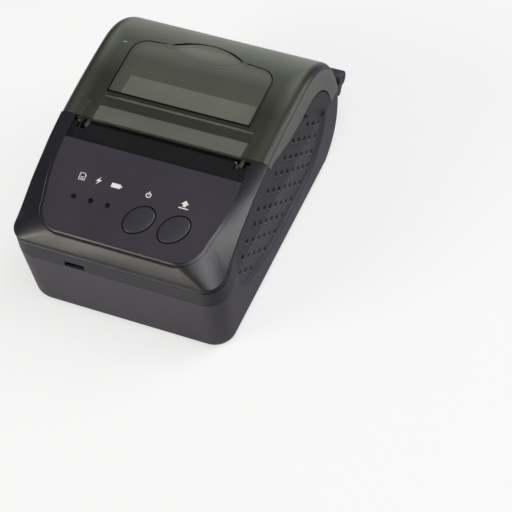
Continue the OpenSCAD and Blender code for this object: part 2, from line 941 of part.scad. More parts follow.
// The tub that holds the paper roll: a trough and two end walls.
module paper_bay() {
    color("#57565a")
    difference() {
        union() {
            along_x(-bay_half_w, bay_half_w)
                polygon(concat(
                    arc(rear_cy, rear_cz, bay_r + bay_t, 165, 352, 24),
                    arc(rear_cy, rear_cz, bay_r, 352, 165, 24)
                ));
            both_sides()
                along_x(bay_half_w, bay_half_w + 1.2)
                    polygon(concat(
                        arc(rear_cy, rear_cz, bay_r + bay_t, 165, 352, 24),
                        [[rear_cy + 12, 36], [rear_cy - 12, 36]]
                    ));
        }
        translate([12, rear_cy - bay_r - 3, 30.6])
            cube([6, 4, 30]);
    }
    for (x = [-20, 20])
        along_x(x - 1, x + 1)
            polygon(concat(
                arc(rear_cy, rear_cz, bay_r + 0.2, 200, 250, 8),
                arc(rear_cy, rear_cz, bay_r - 0.6, 250, 200, 8)
            ));
}
module paper_sensor() {
    color("#17171a")
    translate([12.3, rear_cy - bay_r - 2, 30.7])
        cube([5.4, 2.2, 1.4]);
}

// The plan of the flap: straight sides, rounded rear corners and a bulged finger arc.
module flap_plan(grow) {
    y0 = flap_y - 2 * max(grow, 0);
    y1 = flap_y + flap_len;
    notch_x = 13.6;
    corner = 6;
    arc_r = (pow(notch_x, 2) + pow(flap_arc, 2)) / (2 * flap_arc);
    half_arc = asin(notch_x / arc_r);
    polygon(concat(
        [[-flap_half_w - grow, y0], [flap_half_w + grow, y0]],
        arc(flap_half_w - corner, y1 - corner, corner + grow, 0, 76, 6),
        arc(0, y1 + 0.7 + flap_arc - arc_r, arc_r + grow, 90 - half_arc, 90 + half_arc, 12),
        arc(-flap_half_w + corner, y1 - corner, corner + grow, 104, 180, 6)
    ));
}
scoop_r = 22;
scoop_at = [0, flap_y + flap_len + 1.5, body_h + 19.4];

module cover_shell() {
    color("#565b54", 0.55)
    difference() {
        union() {
            difference() {
                intersection() {
                    body_solid(0);
                    along_x(-half_w, half_w)
                        cover_side();
                }
                difference() {
                    body_solid(wall);
                    translate([-33.4, cover_y, 46.9])
                        cube([66.8, 1.2, 6]);
                }
            }
            both_sides()
                cover_knuckle();
        }
        translate([0, 0, 40])
            linear_extrude(20)
                flap_plan(flap_gap);
        both_sides()
            translate([arm_in - 0.3, cover_y - 1, 44])
                cube([arm_out - arm_in + 0.6, 3, 4.2]);
        hinge_bore();
    }
}
module cover_knuckle() {
    along_x(12, knuckle_split - 0.15) {
        translate([hinge_y, hinge_z])
            circle(r = knuckle_r);
        polygon([
            [rear_y - 1.4, part_z + seam], [hinge_y, part_z + seam],
            [hinge_y, hinge_z + knuckle_r], [rear_y - 1.4, part_z + 3]
        ]);
    }
}
// The opaque inner frame of the cover: front bar, cross wall, rear shelf and two plates for the platen.
module cover_frame() {
    bar_z = platen_z + platen_r + 0.2;
    bar_t = top_z(cover_y + 1.4) - wall - 0.2 - bar_z;
    color("#7d7e7b")
    difference() {
        union() {
            translate([-28.4, cover_y + 1.4, bar_z])
                cube([56.8, 6.4, bar_t]);
            for (x = [-21.5, -1.5, 18.5])
                translate([x, cover_y + 7, bar_z])
                    cube([3, 5, bar_t]);
            translate([-24.4, cover_y + 12, 46])
                cube([48.8, 12.4, 1]);
            translate([-28.4, cover_y + 11.2, 38])
                cube([56.8, 1.2, 10]);
            translate([-plate_out, cover_y + 11.2, 38])
                cube([2 * plate_out, 1.2, 5]);
            both_sides()
                along_x(plate_in, plate_out)
                    polygon([
                        [cover_y + 1.6, 41], [cover_y + 1.6, top_z(cover_y + 1.6) - wall - 0.1],
                        [cover_y + 14, top_z(cover_y + 14) - wall - 0.1], [cover_y + 14, 38],
                        [cover_y + 5, 37.6]
                    ]);
        }
        both_sides()
            along_x(plate_in - 0.5, plate_out + 0.5) {
                translate(platen_axis)
                    circle(r = bushing_r);
                translate(flap_pivot)
                    circle(r = 0.8);
            }
    }
}

// The flap is a lever: pressing the finger arc up swings its two hooks back.
module release_flap() {
    color("#5d635b", 0.6)
    difference() {
        union() {
            intersection() {
                difference() {
                    body_solid(0.1);
                    body_solid(wall);
                }
                translate([0, 0, 40])
                    linear_extrude(20)
                        flap_plan(0);
            }
            intersection() {
                translate(scoop_at)
                    sphere(r = scoop_r + 1.6);
                translate([0, 0, 44])
                    linear_extrude(body_h - 1.2 - 44)
                        flap_plan(-0.4);
            }
            both_sides()
                flap_arm();
        }
        translate(scoop_at)
            sphere(r = scoop_r);
        translate([-half_w, flap_pivot[0], flap_pivot[1]])
            rotate([0, 90, 0])
                cylinder(h = body_w, r = 0.8 + fit);
    }
}
hook_tip = cover_y - 3.5;
eye_top = top_z(flap_pivot[0] - 1.2) - wall - 0.35;
module flap_arm() {
    along_x(arm_in, arm_out)
        polygon([
            [hook_tip, 42.2], [hook_tip + 1.4, 41.6], [hook_tip + 2.8, 42.4], [hook_tip + 2.8, 45.2],
            [flap_pivot[0] - 1.6, 45], [flap_pivot[0] + 6, 45], [flap_y + 3, 45], [flap_y + 3, 46],
            [flap_y + 0.5, 46.6], [flap_pivot[0] + 2.2, 46.8], [flap_pivot[0] + 1.2, eye_top],
            [flap_pivot[0] - 1.2, eye_top], [flap_pivot[0] - 2.6, 47.2], [hook_tip + 1.4, 46.8],
            [hook_tip + 1.4, 43.3], [hook_tip, 43.3]
        ]);
    translate([25.5, flap_y + 0.6, 45])
        cube([arm_out - 25.5, 2.4, 1]);
    translate([25.5, flap_y + 0.6, 45])
        cube([1.3, 2.4, 5]);
}
module flap_pins() {
    color("#bfc2c6")
    both_sides()
        translate([arm_in - 0.1, flap_pivot[0], flap_pivot[1]])
            rotate([0, 90, 0])
                cylinder(h = plate_out - arm_in + 0.1, r = 0.8);
}
module flap_springs() {
    color("#c4c7ca")
    both_sides()
        translate([arm_out + 0.35, flap_pivot[0], flap_pivot[1]])
            rotate([90, 0, 90])
                coil(1.15, 0.16, 1.5, 0.5, 3, 3, 20);
}

module hinge_pin() {
    color("#bfc2c6")
    translate([1.3 - half_w, hinge_y, hinge_z])
        rotate([0, 90, 0])
            cylinder(h = body_w - 2.6, r = hinge_pin_r);
}
module hinge_spring() {
    color("#c4c7ca")
    translate([-7, hinge_y, hinge_z])
        rotate([90, 0, 90])
            coil(1.6, 0.35, 11.45, 13, 3.2, 3.2, 200);
}
module case_screws() {
    color("#9a9da0")
    for (p = screw_spots)
        translate([p[0], p[1], screw_seat_z - 1.5]) {
            difference() {
                cylinder(h = 1.5, r = 2.2);
                translate([0, 0, -0.1])
                    cylinder(h = 0.9, r = 1, $fn = 6);
            }
            translate([0, 0, 1])
                cylinder(h = 28, r = 1.2);
        }
}
module frame_screws() {
    color("#9a9da0")
    for (x = frame_post_x)
        translate([x, frame_post_y, frame_floor_z + 1]) {
            cylinder(h = 1, r = 1.5);
            translate([0, 0, -6])
                cylinder(h = 6.5, r = 0.75);
        }
}
module rubber_feet() {
    color("#222224")
    for (p = foot_spots)
        translate([p[0], p[1], 0])
            cylinder(h = base_z + 0.6, r = 3.1);
}

lower_shell();
upper_casing();
front_bezel();
control_panel();
power_button();
feed_button();
power_switch();
feed_switch();
key_board();
status_leds();
light_guides();
main_board();
board_chips();
radio_module();
usb_socket();
battery();
battery_contacts();
battery_door();
head_ribbon();
mechanism_frame();
thermal_head();
head_heatsink();
head_pivot_pin();
head_springs();
stepper_motor();
motor_shaft();
motor_pinion();
idler_gear();
idler_post();
tear_bar();
paper_bay();
paper_sensor();
cover_shell();
cover_frame();
platen_bushings();
platen_roller();
platen_shaft();
platen_gear();
release_flap();
flap_pins();
flap_springs();
hinge_pin();
hinge_spring();
case_screws();
frame_screws();
rubber_feet();
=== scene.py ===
import math

import bmesh
import bpy
import numpy as np
from mathutils import Matrix, Vector


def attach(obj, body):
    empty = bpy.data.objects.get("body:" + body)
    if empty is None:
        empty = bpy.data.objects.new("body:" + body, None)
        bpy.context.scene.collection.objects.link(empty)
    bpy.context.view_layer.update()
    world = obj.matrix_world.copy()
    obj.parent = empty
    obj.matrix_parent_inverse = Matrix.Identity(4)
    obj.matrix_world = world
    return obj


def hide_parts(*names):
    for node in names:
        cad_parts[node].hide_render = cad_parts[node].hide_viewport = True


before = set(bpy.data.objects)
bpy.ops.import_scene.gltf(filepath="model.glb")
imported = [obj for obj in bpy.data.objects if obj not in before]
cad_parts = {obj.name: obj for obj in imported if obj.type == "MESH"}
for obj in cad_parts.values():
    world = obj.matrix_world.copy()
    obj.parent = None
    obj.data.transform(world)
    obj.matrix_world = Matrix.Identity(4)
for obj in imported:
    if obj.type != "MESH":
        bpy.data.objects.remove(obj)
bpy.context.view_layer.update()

mm = 0.001


# camera: a long lens above the front right corner, rolled a little
cameraSetup = {
    "place": (0.27830, -0.41360, 0.60178),
    "right": (0.910984, 0.397357, -0.110528),
    "up": (-0.255187, 0.753560, 0.605828),
    "back": (0.324019, -0.523694, 0.787881),
    "lens": 150.916,
    "sensor": 36.0,
}


def makeCamera(setup):
    # a camera from its place and its three directions
    data = bpy.data.cameras.new("camera")
    data.lens = setup["lens"]
    data.sensor_width = setup["sensor"]
    data.clip_start = 0.05
    data.clip_end = 20
    camera = bpy.data.objects.new("camera", data)
    bpy.context.scene.collection.objects.link(camera)
    turned = Matrix((setup["right"], setup["up"], setup["back"])).transposed().to_4x4()
    camera.matrix_world = Matrix.Translation(setup["place"]) @ turned
    bpy.context.scene.camera = camera


makeCamera(cameraSetup)
print("camera placed")


# sizes of the body in millimetres, the same as the frame's; X is to the right, Y to the rear, Z up
body = {
    "halfWidth": 40.0, "front": -56.7, "rear": 50.7, "top": 52.0, "base": 0.8, "parting": 27.0,
    "rearRadius": 25.6, "rearY": 25.1, "rearZ": 26.4, "crownRadius": 265.0, "frontCorner": 7.5,
    "edgeRadius": 3.0, "rearEdgeRadius": 5.0, "bottomEdge": 1.6,
    "sideTaper": 1.3, "frontTaper": 1.0, "wall": 2.0, "gripWall": 2.5, "coverFront": -9.5, "seam": 0.25,
}
# side view, in Y and Z: the lower edges of bezel and cover, and the casing's round tongue behind them
bezelLine = [(-57.7, 34.6), (-50, 35.6), (-44, 37.7), (-35.5, 41.3),
             (-25.7, 44.4), (-19.7, 46.2), (-9.7, 48.2)]
skirtLine = [(-9.5, 48.2), (-3.5, 46.3), (2.4, 44.8), (10.1, 43.7), (19.5, 43.4)]
tongueY, tongueZ, tongueRadius = 24.9, 27.9, 15.5
# the slope of the key panel: its middle, how far it runs back and how far it rises
panelMiddle = (0.0, -35.45, 44.35)
panelRun, panelRise = 33.5, 7.5
panelTilt = math.atan2(panelRise, panelRun)
panelHalf = math.hypot(panelRun, panelRise) / 2


def crown(y, drop=0.0):
    # height of the large arc over the top at a depth y, or of the arc that lies a drop below it
    rise = np.sqrt((body["crownRadius"] - drop) ** 2 - (y - body["rearY"]) ** 2)
    return body["top"] - body["crownRadius"] + rise


def smoothStep(value, low, high):
    # 0 below low, 1 above high, and a cubic between them
    t = np.clip((value - low) / (high - low), 0, 1)
    return t * t * (3 - 2 * t)


def curveThrough(points, steps=12):
    # a smooth line through the points: each stretch is a cubic whose ends run along the neighbours' chord
    p = np.array(points, float)
    tangents = np.gradient(p, axis=0)
    t = np.linspace(0, 1, steps, endpoint=False)[:, None]
    h = (2 * t**3 - 3 * t**2 + 1, t**3 - 2 * t**2 + t, -2 * t**3 + 3 * t**2, t**3 - t**2)
    stretches = [h[0] * p[i] + h[1] * tangents[i] + h[2] * p[i + 1] + h[3] * tangents[i + 1]
                 for i in range(len(p) - 1)]
    return np.vstack(stretches + [p[-1:]])


bezelCurve = curveThrough(bezelLine)
skirtCurve = curveThrough(skirtLine)


def bezelEdge(y):
    # height of the bezel's lower edge at a depth y
    return np.interp(y, bezelCurve[:, 0], bezelCurve[:, 1])


def skirtEdge(y):
    # height of the cover's lower edge: a smooth line, level at its end, then a round end over the tongue
    arc = tongueZ + np.sqrt(np.clip(tongueRadius**2 - (y - tongueY) ** 2, 0, None))
    line = np.interp(y, skirtCurve[:, 0], skirtCurve[:, 1])
    return np.where(y > tongueY, arc, line)


# mesh helpers
def makeMesh(name, points, faces):
    # an object from points in millimetres and faces, which are an array or a list
    mesh = bpy.data.meshes.new(name)
    faces = faces.tolist() if isinstance(faces, np.ndarray) else faces
    mesh.from_pydata(np.asarray(points, float) * mm, [], faces)
    mesh.update()
    thing = bpy.data.objects.new(name, mesh)
    bpy.context.scene.collection.objects.link(thing)
    return thing


def gridQuads(rows, columns, start=0, flip=False, loop=False):
    # the four-sided faces of a grid of points, row after row; loop joins the last column to the first
    i, j = np.meshgrid(np.arange(rows - 1), np.arange(columns if loop else columns - 1), indexing="ij")
    k = (j + 1) % columns
    quads = np.stack([i * columns + j, (i + 1) * columns + j, (i + 1) * columns + k, i * columns + k], -1)
    quads = quads.reshape(-1, 4) + start
    return quads[:, ::-1] if flip else quads


def gridNormals(grid):
    # unit normals from the cross product of the two directions along the grid
    n = np.cross(np.gradient(grid, axis=0), np.gradient(grid, axis=1))
    return n / np.maximum(np.linalg.norm(n, axis=-1, keepdims=True), 1e-9)


def thickSheet(name, outer, inner):
    # a closed wall between two grids of the same size: outer face, inner face turned round, and four rims
    rows, columns = outer.shape[:2]
    count = rows * columns
    faces = [gridQuads(rows, columns), gridQuads(rows, columns, count, flip=True)]
    rim = np.concatenate([
        np.arange(columns), np.arange(1, rows) * columns + columns - 1,
        (rows - 1) * columns + np.arange(columns - 2, -1, -1), np.arange(rows - 2, 0, -1) * columns,
    ])
    after = np.roll(rim, -1)
    faces.append(np.stack([rim, after, after + count, rim + count], -1))
    return makeMesh(name, np.vstack([outer.reshape(-1, 3), inner.reshape(-1, 3)]), np.vstack(faces))


def moved(points, matrix):
    # the points turned and shifted by a matrix in millimetres
    return points @ np.array(matrix.to_3x3()).T + np.array(matrix.translation)


def prism(name, outline, low, high, matrix=Matrix()):
    # a closed outline in X and Y carried from one height to the other, then moved
    p = np.array(outline, float)
    n = len(p)
    points = np.vstack([np.c_[p, np.full(n, low)], np.c_[p, np.full(n, high)]])
    i = np.arange(n)
    sides = np.stack([i, (i + 1) % n, (i + 1) % n + n, i + n], -1)
    faces = [tuple(range(n))[::-1], tuple(range(n, 2 * n))] + sides.tolist()
    return makeMesh(name, moved(points, matrix), faces)


def lathe(name, profile, segments, matrix):
    # a closed profile of radius and height turned round Z, then moved
    p = np.array(profile, float)
    angle = np.linspace(0, 2 * math.pi, segments, endpoint=False)
    heights = np.repeat(p[:, 1:], segments, 1)
    grid = np.stack([p[:, :1] * np.cos(angle), p[:, :1] * np.sin(angle), heights], -1)
    thing = makeMesh(name, moved(grid.reshape(-1, 3), matrix), gridQuads(len(p), segments, loop=True))
    mergeDoubles(thing)
    return thing


def mergeDoubles(thing, distance=1e-7):
    # joins the points of seams and poles, and turns every face outwards
    work = bmesh.new()
    work.from_mesh(thing.data)
    bmesh.ops.remove_doubles(work, verts=work.verts, dist=distance)
    bmesh.ops.dissolve_degenerate(work, edges=work.edges, dist=distance)
    bmesh.ops.recalc_face_normals(work, faces=work.faces)
    work.to_mesh(thing.data)
    work.free()


def recalculate(thing):
    # turns every face outwards
    work = bmesh.new()
    work.from_mesh(thing.data)
    bmesh.ops.recalc_face_normals(work, faces=work.faces)
    work.to_mesh(thing.data)
    work.free()


def applyAll(thing):
    # replaces the mesh by what its modifiers make of it
    graph = bpy.context.evaluated_depsgraph_get()
    mesh = bpy.data.meshes.new_from_object(thing.evaluated_get(graph))
    thing.modifiers.clear()
    old = thing.data
    thing.data = mesh
    bpy.data.meshes.remove(old)


def combine(thing, other, operation="DIFFERENCE", keep=False):
    # cuts, joins or crosses two closed meshes, and drops the second one unless it is kept
    recalculate(other)
    change = thing.modifiers.new("combine", "BOOLEAN")
    change.operation = operation
    change.solver = "MANIFOLD"
    change.object = other
    before = len(thing.data.polygons)
    applyAll(thing)
    if len(thing.data.polygons) == 0:
        raise RuntimeError(f"{thing.name} lost its {before} faces to {other.name}")
    if not keep:
        bpy.data.objects.remove(other)


def bevelEdges(thing, width, segments=2, angle=40):
    # rounds off the edges whose faces meet at more than the angle, by a width in millimetres
    change = thing.modifiers.new("bevel", "BEVEL")
    change.width = width * mm
    change.segments = segments
    change.limit_method = "ANGLE"
    change.angle_limit = math.radians(angle)
    applyAll(thing)


def smoothShade(thing, angle=35):
    # smooth faces, with a crisp edge wherever they meet at more than the angle
    thing.data.polygons.foreach_set("use_smooth", np.ones(len(thing.data.polygons), bool))
    thing.data.set_sharp_from_angle(angle=math.radians(angle))


def weighNormals(thing):
    # the large flat faces keep their own direction and only the narrow edges round off
    change = thing.modifiers.new("weigh", "WEIGHTED_NORMAL")
    change.keep_sharp = True
    change.weight = 100
    applyAll(thing)


def place(thing, bodyName, material, nodes=(), angle=35, weigh=False):
    # finishes a piece: shading, material, the body it rides on, and the nodes it stands in for
    smoothShade(thing, angle)
    if weigh:
        weighNormals(thing)
    thing.data.materials.clear()
    thing.data.materials.append(material)
    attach(thing, bodyName)
    if nodes:
        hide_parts(*nodes)


# outlines
def roundArc(cx, cy, radius, start, end, steps):
    # points on an arc, from one angle to the other in degrees
    a = np.radians(np.linspace(start, end, steps + 1))
    return np.c_[cx + radius * np.cos(a), cy + radius * np.sin(a)]


def circle(cx, cy, radius, steps=40):
    # a full turn of the arc, without the last point that doubles the first
    return roundArc(cx, cy, radius, 0, 360, steps)[:-1]


def box(x0, y0, x1, y1):
    # a rectangle between two opposite corners
    return [(x0, y0), (x1, y0), (x1, y1), (x0, y1)]


# materials
def colour(code):
    # an sRGB hex value as linear numbers
    parts = [int(code[i:i + 2], 16) / 255 for i in (1, 3, 5)]
    return tuple(c / 12.92 if c <= 0.04045 else ((c + 0.055) / 1.055) ** 2.4 for c in parts) + (1.0,)


def addNode(tree, kind, settings=(), links=()):
    # adds a node, sets its properties, or inputs by name or number, and links the given sockets into inputs
    node = tree.nodes.new(kind)
    for key, value in dict(settings).items():
        if isinstance(key, int) or key in node.inputs:
            node.inputs[key].default_value = value
        else:
            setattr(node, key, value)
    for key, source in dict(links).items():
        tree.links.new(source, node.inputs[key])
    return node


def startMaterial(name):
    # a new material, with its node tree and its shader
    material = bpy.data.materials.new(name)
    material.use_nodes = True
    return material, material.node_tree, material.node_tree.nodes["Principled BSDF"]


def moulded(name, code, rough=0.5, grain=0.25, grainSize=0.35, tone=0.08, ior=1.53):
    # a moulded plastic: fine spark-eroded grain of a size in millimetres, with slow drifts of tone and gloss
    material, tree, shader = startMaterial(name)
    shader.inputs["IOR"].default_value = ior
    middle = {"From Min": 0.3, "From Max": 0.7}  # most of a noise's values lie between these
    at = addNode(tree, "ShaderNodeTexCoord").outputs["Object"]
    drift = addNode(tree, "ShaderNodeTexNoise", {"Scale": 55.0, "Detail": 3.0}, {"Vector": at}).outputs["Fac"]
    fine = addNode(tree, "ShaderNodeTexNoise", {"Scale": 1000 / grainSize, "Detail": 3.0},
                   {"Vector": at}).outputs["Fac"]
    patch = addNode(tree, "ShaderNodeMapRange", {**middle, "To Min": 1 - tone, "To Max": 1 + tone},
                    {"Value": drift})
    speck = addNode(tree, "ShaderNodeMapRange", {**middle, "To Min": 0.93, "To Max": 1.07}, {"Value": fine})
    both = addNode(tree, "ShaderNodeMath", {"operation": "MULTIPLY"},
                   {0: patch.outputs["Result"], 1: speck.outputs["Result"]})
    tint = addNode(tree, "ShaderNodeHueSaturation", {"Color": colour(code)}, {"Value": both.outputs["Value"]})
    gloss = addNode(tree, "ShaderNodeMapRange", {**middle, "To Min": rough - 0.04, "To Max": rough + 0.04},
                    {"Value": drift})
    bump = addNode(tree, "ShaderNodeBump", {"Strength": grain, "Distance": 0.00004}, {"Height": fine})
    tree.links.new(tint.outputs["Color"], shader.inputs["Base Color"])
    tree.links.new(gloss.outputs["Result"], shader.inputs["Roughness"])
    tree.links.new(bump.outputs["Normal"], shader.inputs["Normal"])
    return material


def metal(name, code, rough=0.3, grain=0.15):
    # a metal with fine lines along X, drawn or ground about 0.4 mm apart, and a little uneven gloss
    material, tree, shader = startMaterial(name)
    shader.inputs["Base Color"].default_value = colour(code)
    shader.inputs["Metallic"].default_value = 1.0
    at = addNode(tree, "ShaderNodeTexCoord").outputs["Object"]
    stretch = addNode(tree, "ShaderNodeMapping", {"Scale": (120.0, 2600.0, 2600.0)}, {"Vector": at})
    lines = addNode(tree, "ShaderNodeTexNoise", {"Scale": 1.0, "Detail": 2.0},
                    {"Vector": stretch.outputs["Vector"]}).outputs["Fac"]
    gloss = addNode(tree, "ShaderNodeMapRange", {"To Min": rough - 0.1, "To Max": rough + 0.1},
                    {"Value": lines})
    bump = addNode(tree, "ShaderNodeBump", {"Strength": grain, "Distance": 0.00002}, {"Height": lines})
    tree.links.new(gloss.outputs["Result"], shader.inputs["Roughness"])
    tree.links.new(bump.outputs["Normal"], shader.inputs["Normal"])
    return material


shellAbs = moulded("charcoal ABS, spark textured", "#423e49", 0.4, 0.35)  # even sheen broken by fine grain
casingAbs = moulded("charcoal ABS casing, darker for painted shade", "#2a2730", 0.4, 0.3)  # the shell's sheen, made darker: painted shade for the casing's upright walls
bezelAbs = moulded("charcoal ABS, satin bezel", "#1d1b22", 0.34, 0.15, ior=1.6)  # smoother, long soft lights
panelSheet = moulded("charcoal polycarbonate overlay", "#39363f", 0.4, 0.2, 0.2, 0.04)  # flat, a faint haze
buttonAbs = moulded("charcoal ABS button", "#39373f", 0.36, 0.15)  # smooth, a soft light on its dome
deckAbs = moulded("black ABS slot surround", "#0f0e12", 0.6, 0.2, ior=1.35)  # nearly black, hardly shines
markInk = moulded("white screen-print ink", "#f2f2f0", 0.6, 0.1, 0.1, 0.01)  # flat white
ceramicPlate = moulded("glazed alumina plate", "#e6e2d6", 0.25, 0.05, ior=1.76)  # pale and glassy
bayAbs = moulded("dark grey ABS, paper bay", "#4b4c47", 0.55)  # dull grey walls under the cover
blackPlastic = moulded("black moulded plastic", "#121214", 0.45)  # plain black with a weak sheen
tearBarShade = moulded("tear bar in painted slot shade", "#070708", 0.85, 0.1, ior=1.25)  # painted shade: the tear bar made near black and matt so it reads as the shadow line at the slot
solderMask = moulded("green solder mask", "#1f4d33", 0.35, 0.3, 0.8, 0.15)  # shiny green with uneven tone
lampEpoxy = moulded("milky lamp epoxy", "#e4e0d0", 0.3, 0.05)  # smooth and creamy
frostedAcrylic = moulded("smoked acrylic light guide", "#0d0d0e", 0.35, 0.1)  # the lamps look dark when off
shrinkSleeve = moulded("blue heat-shrink sleeve", "#2d4f7c", 0.3, 0.4, 3.0)  # glossy with shallow wrinkles
polyimide = moulded("amber polyimide ribbon", "#b47a3a", 0.35, 0.1)  # smooth amber film
rubber = moulded("moulded black rubber", "#1b1b1d", 0.75, 0.5, 0.25)  # dull and slightly rough
acetal = moulded("natural acetal", "#e6e2d6", 0.4, 0.1)  # waxy off-white
groundSteel = metal("ground steel", "#b9bcc0", 0.25)  # bright, with streaked lights
blackSteel = metal("blackened spring steel", "#2e2f31", 0.4)  # dark, with a thin glint
pressedSteel = metal("zinc-plated pressed steel", "#a2a5a8", 0.38, 0.3)  # greyer and duller than ground steel
tinPlate = metal("tin plate", "#c4c6c8", 0.3)  # pale and bright
milledAluminium = metal("milled aluminium", "#b4b7ba", 0.35, 0.3)  # soft grey with visible cutter lines
turnedBrass = metal("turned brass", "#c9a24a", 0.3)  # warm yellow
goldContact = metal("gold-plated contact", "#d6b566", 0.3)  # paler yellow than the brass


def objectAxes(tree):
    # the distance from the middle plane (across) and the depth (along), in metres
    at = addNode(tree, "ShaderNodeTexCoord").outputs["Object"]
    split = addNode(tree, "ShaderNodeSeparateXYZ", (), {"Vector": at})
    across = addNode(tree, "ShaderNodeMath", {"operation": "ABSOLUTE"}, {0: split.outputs["X"]})
    return {"across": across.outputs["Value"], "along": split.outputs["Y"]}


def layBands(material, bands):
    # each band turns the tone to its own colour, while its axis goes from low to high in millimetres
    tree = material.node_tree
    base = tree.nodes["Principled BSDF"].inputs["Base Color"]
    axes = objectAxes(tree)
    tone = base.links[0].from_socket
    for axis, low, high, code in bands:
        share = addNode(tree, "ShaderNodeMapRange", {"From Min": low * mm, "From Max": high * mm},
                        {"Value": axes[axis]})
        tone = addNode(tree, "ShaderNodeMix", {"data_type": "RGBA", 7: colour(code)},
                       {0: share.outputs["Result"], 6: tone}).outputs[2]
    tree.links.new(tone, base)


def smokedPlastic(name, finish):
    # smoked translucent polycarbonate: part of the light goes straight through, the rest meets a milky satin
    # surface; where it has a lining it turns solid, from low to high along an axis
    material = moulded(name, finish["tone"], 0.36, 0.12, 0.5, 0.05, 1.58)
    layBands(material, finish["bands"])
    tree = material.node_tree
    alpha = tree.nodes["Principled BSDF"].inputs["Alpha"]
    alpha.default_value = finish["alpha"]
    if finish["lining"]:
        axes = objectAxes(tree)
        shares = [addNode(tree, "ShaderNodeMapRange", {"From Min": low * mm, "From Max": high * mm,
                                                       "To Min": finish["alpha"], "To Max": 1.0},
                          {"Value": axes[axis]}).outputs["Result"] for axis, low, high in finish["lining"]]
        solid = addNode(tree, "ShaderNodeMath", {"operation": "MAXIMUM"}, dict(enumerate(shares)))
        tree.links.new(solid.outputs["Value"], alpha)
    return material


coverFinish = {
    "tone": "#464a3f", "alpha": 0.43, "lining": (("across", 32.0, 36.5), ("along", 27.0, 35.0)),
    "bands": (("along", 10.0, 32.0, "#7d8276"),  # painted light: lighter towards the rear, where the crown's rear slope catches the light
              ("across", 35.6, 37.6, "#333530"),  # painted shade: darker in the rounded edge
              ("across", 39.3, 39.7, "#70706e")),  # grey skirt
}
# the flap's band, lighter from 20 to 30 mm back over the finger scoop, is a painted highlight
flapFinish = {"tone": "#6a6e61", "alpha": 0.48, "lining": (), "bands": (("along", 20.0, 30.0, "#9a9d91"),)}
frameBands = (("along", -1.85, -1.55, "#151614"),  # painted shade: dark in the gap between the light bar and the shelf
              ("along", 2.25, 2.55, "#f0f1de"), ("along", 14.75, 15.05, "#8a8b7e"),  # light shelf, grey wall
              ("across", 28.5, 28.8, "#1e1f1c"))  # side plates
smokedCover = smokedPlastic("smoked polycarbonate cover", coverFinish)  # green-grey, the inside shows through
smokedFlap = smokedPlastic("smoked polycarbonate flap", flapFinish)  # the same, a little lighter
flapGapShade = moulded("painted gap shade round the flap", "#0e0f0d", 0.5, 0.05)  # painted shade: the gap round the flap drawn as a near-black line on its edge faces
frameAbs = moulded("grey ABS, cover frame", "#f0f1e2", 0.5)  # light bar and shelf, seen through the cover
layBands(frameAbs, frameBands)
print("materials made")


# the lower shell: rays from an inner loop find the rounded crossing of the side view and the plan
def planPoints(countSide, countCorner, countFront, countRear, rearCorner=5.0):
    # plan outline from the middle of the rear, clockwise seen from above: right side, front, left side
    w, f, r, c = body["halfWidth"], body["front"], body["rear"], body["frontCorner"]
    half = np.vstack([
        np.c_[np.linspace(0, w - rearCorner, countRear, endpoint=False), np.full(countRear, r)],
        roundArc(w - rearCorner, r - rearCorner, rearCorner, 90, 0, countCorner)[:-1],
        np.c_[np.full(countSide, w), np.linspace(r - rearCorner, f + c, countSide, endpoint=False)],
        roundArc(w - c, f + c, c, 0, -90, countCorner)[:-1],
        np.c_[np.linspace(w - c, 0, countFront, endpoint=False), np.full(countFront, f)],
    ])
    return np.vstack([half, [[0, f]], half[1:][::-1] * (-1, 1)])


def taperAt(z):
    # how far the walls have drawn in: 0 at the parting line, 1 at the floor
    return np.clip((body["parting"] - z) / (body["parting"] - body["base"]), 0, 1)


def shellDistance(x, y, z):
    # rounded crossing of the side view (round rear, flat bottom) and the plan (sides, front, front corners)
    lean = taperAt(z)
    w = body["halfWidth"] - body["sideTaper"] * lean
    f = body["front"] + body["frontTaper"] * lean
    c = body["frontCorner"] + 0.8 * lean
    ry, rz, rr = body["rearY"], body["rearZ"], body["rearRadius"]
    side = np.where(y > ry, np.hypot(y - ry, z - rz) - rr, body["base"] - z)
    ax, ay = np.abs(x), y
    cornerX, cornerY = w - c, f + c
    inCorner = (ax > cornerX) & (ay < cornerY)
    plan = np.where(inCorner, np.hypot(ax - cornerX, ay - cornerY) - c, np.maximum(ax - w, f - ay))
    climb = smoothStep(y, ry, ry + rr) * smoothStep(z, 2, 24)
    r = body["bottomEdge"] + (body["rearEdgeRadius"] - body["bottomEdge"]) * climb
    return np.minimum(np.maximum(side, plan), -r) + np.hypot(np.maximum(side + r, 0), np.maximum(plan + r, 0))


# the sunk grip field on each side: its lower edge in Y and Z, and how it is sunk
leafLower = [(-46.0, 25.5), (-42.7, 21.5), (-39.0, 17.8), (-33.9, 14.7), (-27.6, 12.6), (-18.9, 11.0),
             (-7.7, 10.3), (3.3, 10.2), (10.4, 10.4), (17.3, 10.9), (23.5, 12.9), (29.5, 16.6), (33.6, 21.4),
             (35.4, 25.4), (35.2, 29.4), (31.0, 34.9), (22.4, 39.6)]
leaf = {"depth": 1.1, "edge": 1.5, "fadeFrom": -47.0, "fadeTo": -39.0}


def lineDistance(y, z, line):
    # the shortest distance from each point to a chain of short stretches
    p = np.stack([y, z], -1)[..., None, :]
    a, b = line[:-1], line[1:]
    d = b - a
    t = np.clip(((p - a) * d).sum(-1) / np.maximum((d * d).sum(-1), 1e-9), 0, 1)
    return np.linalg.norm(p - (a + t[..., None] * d), axis=-1).min(-1)


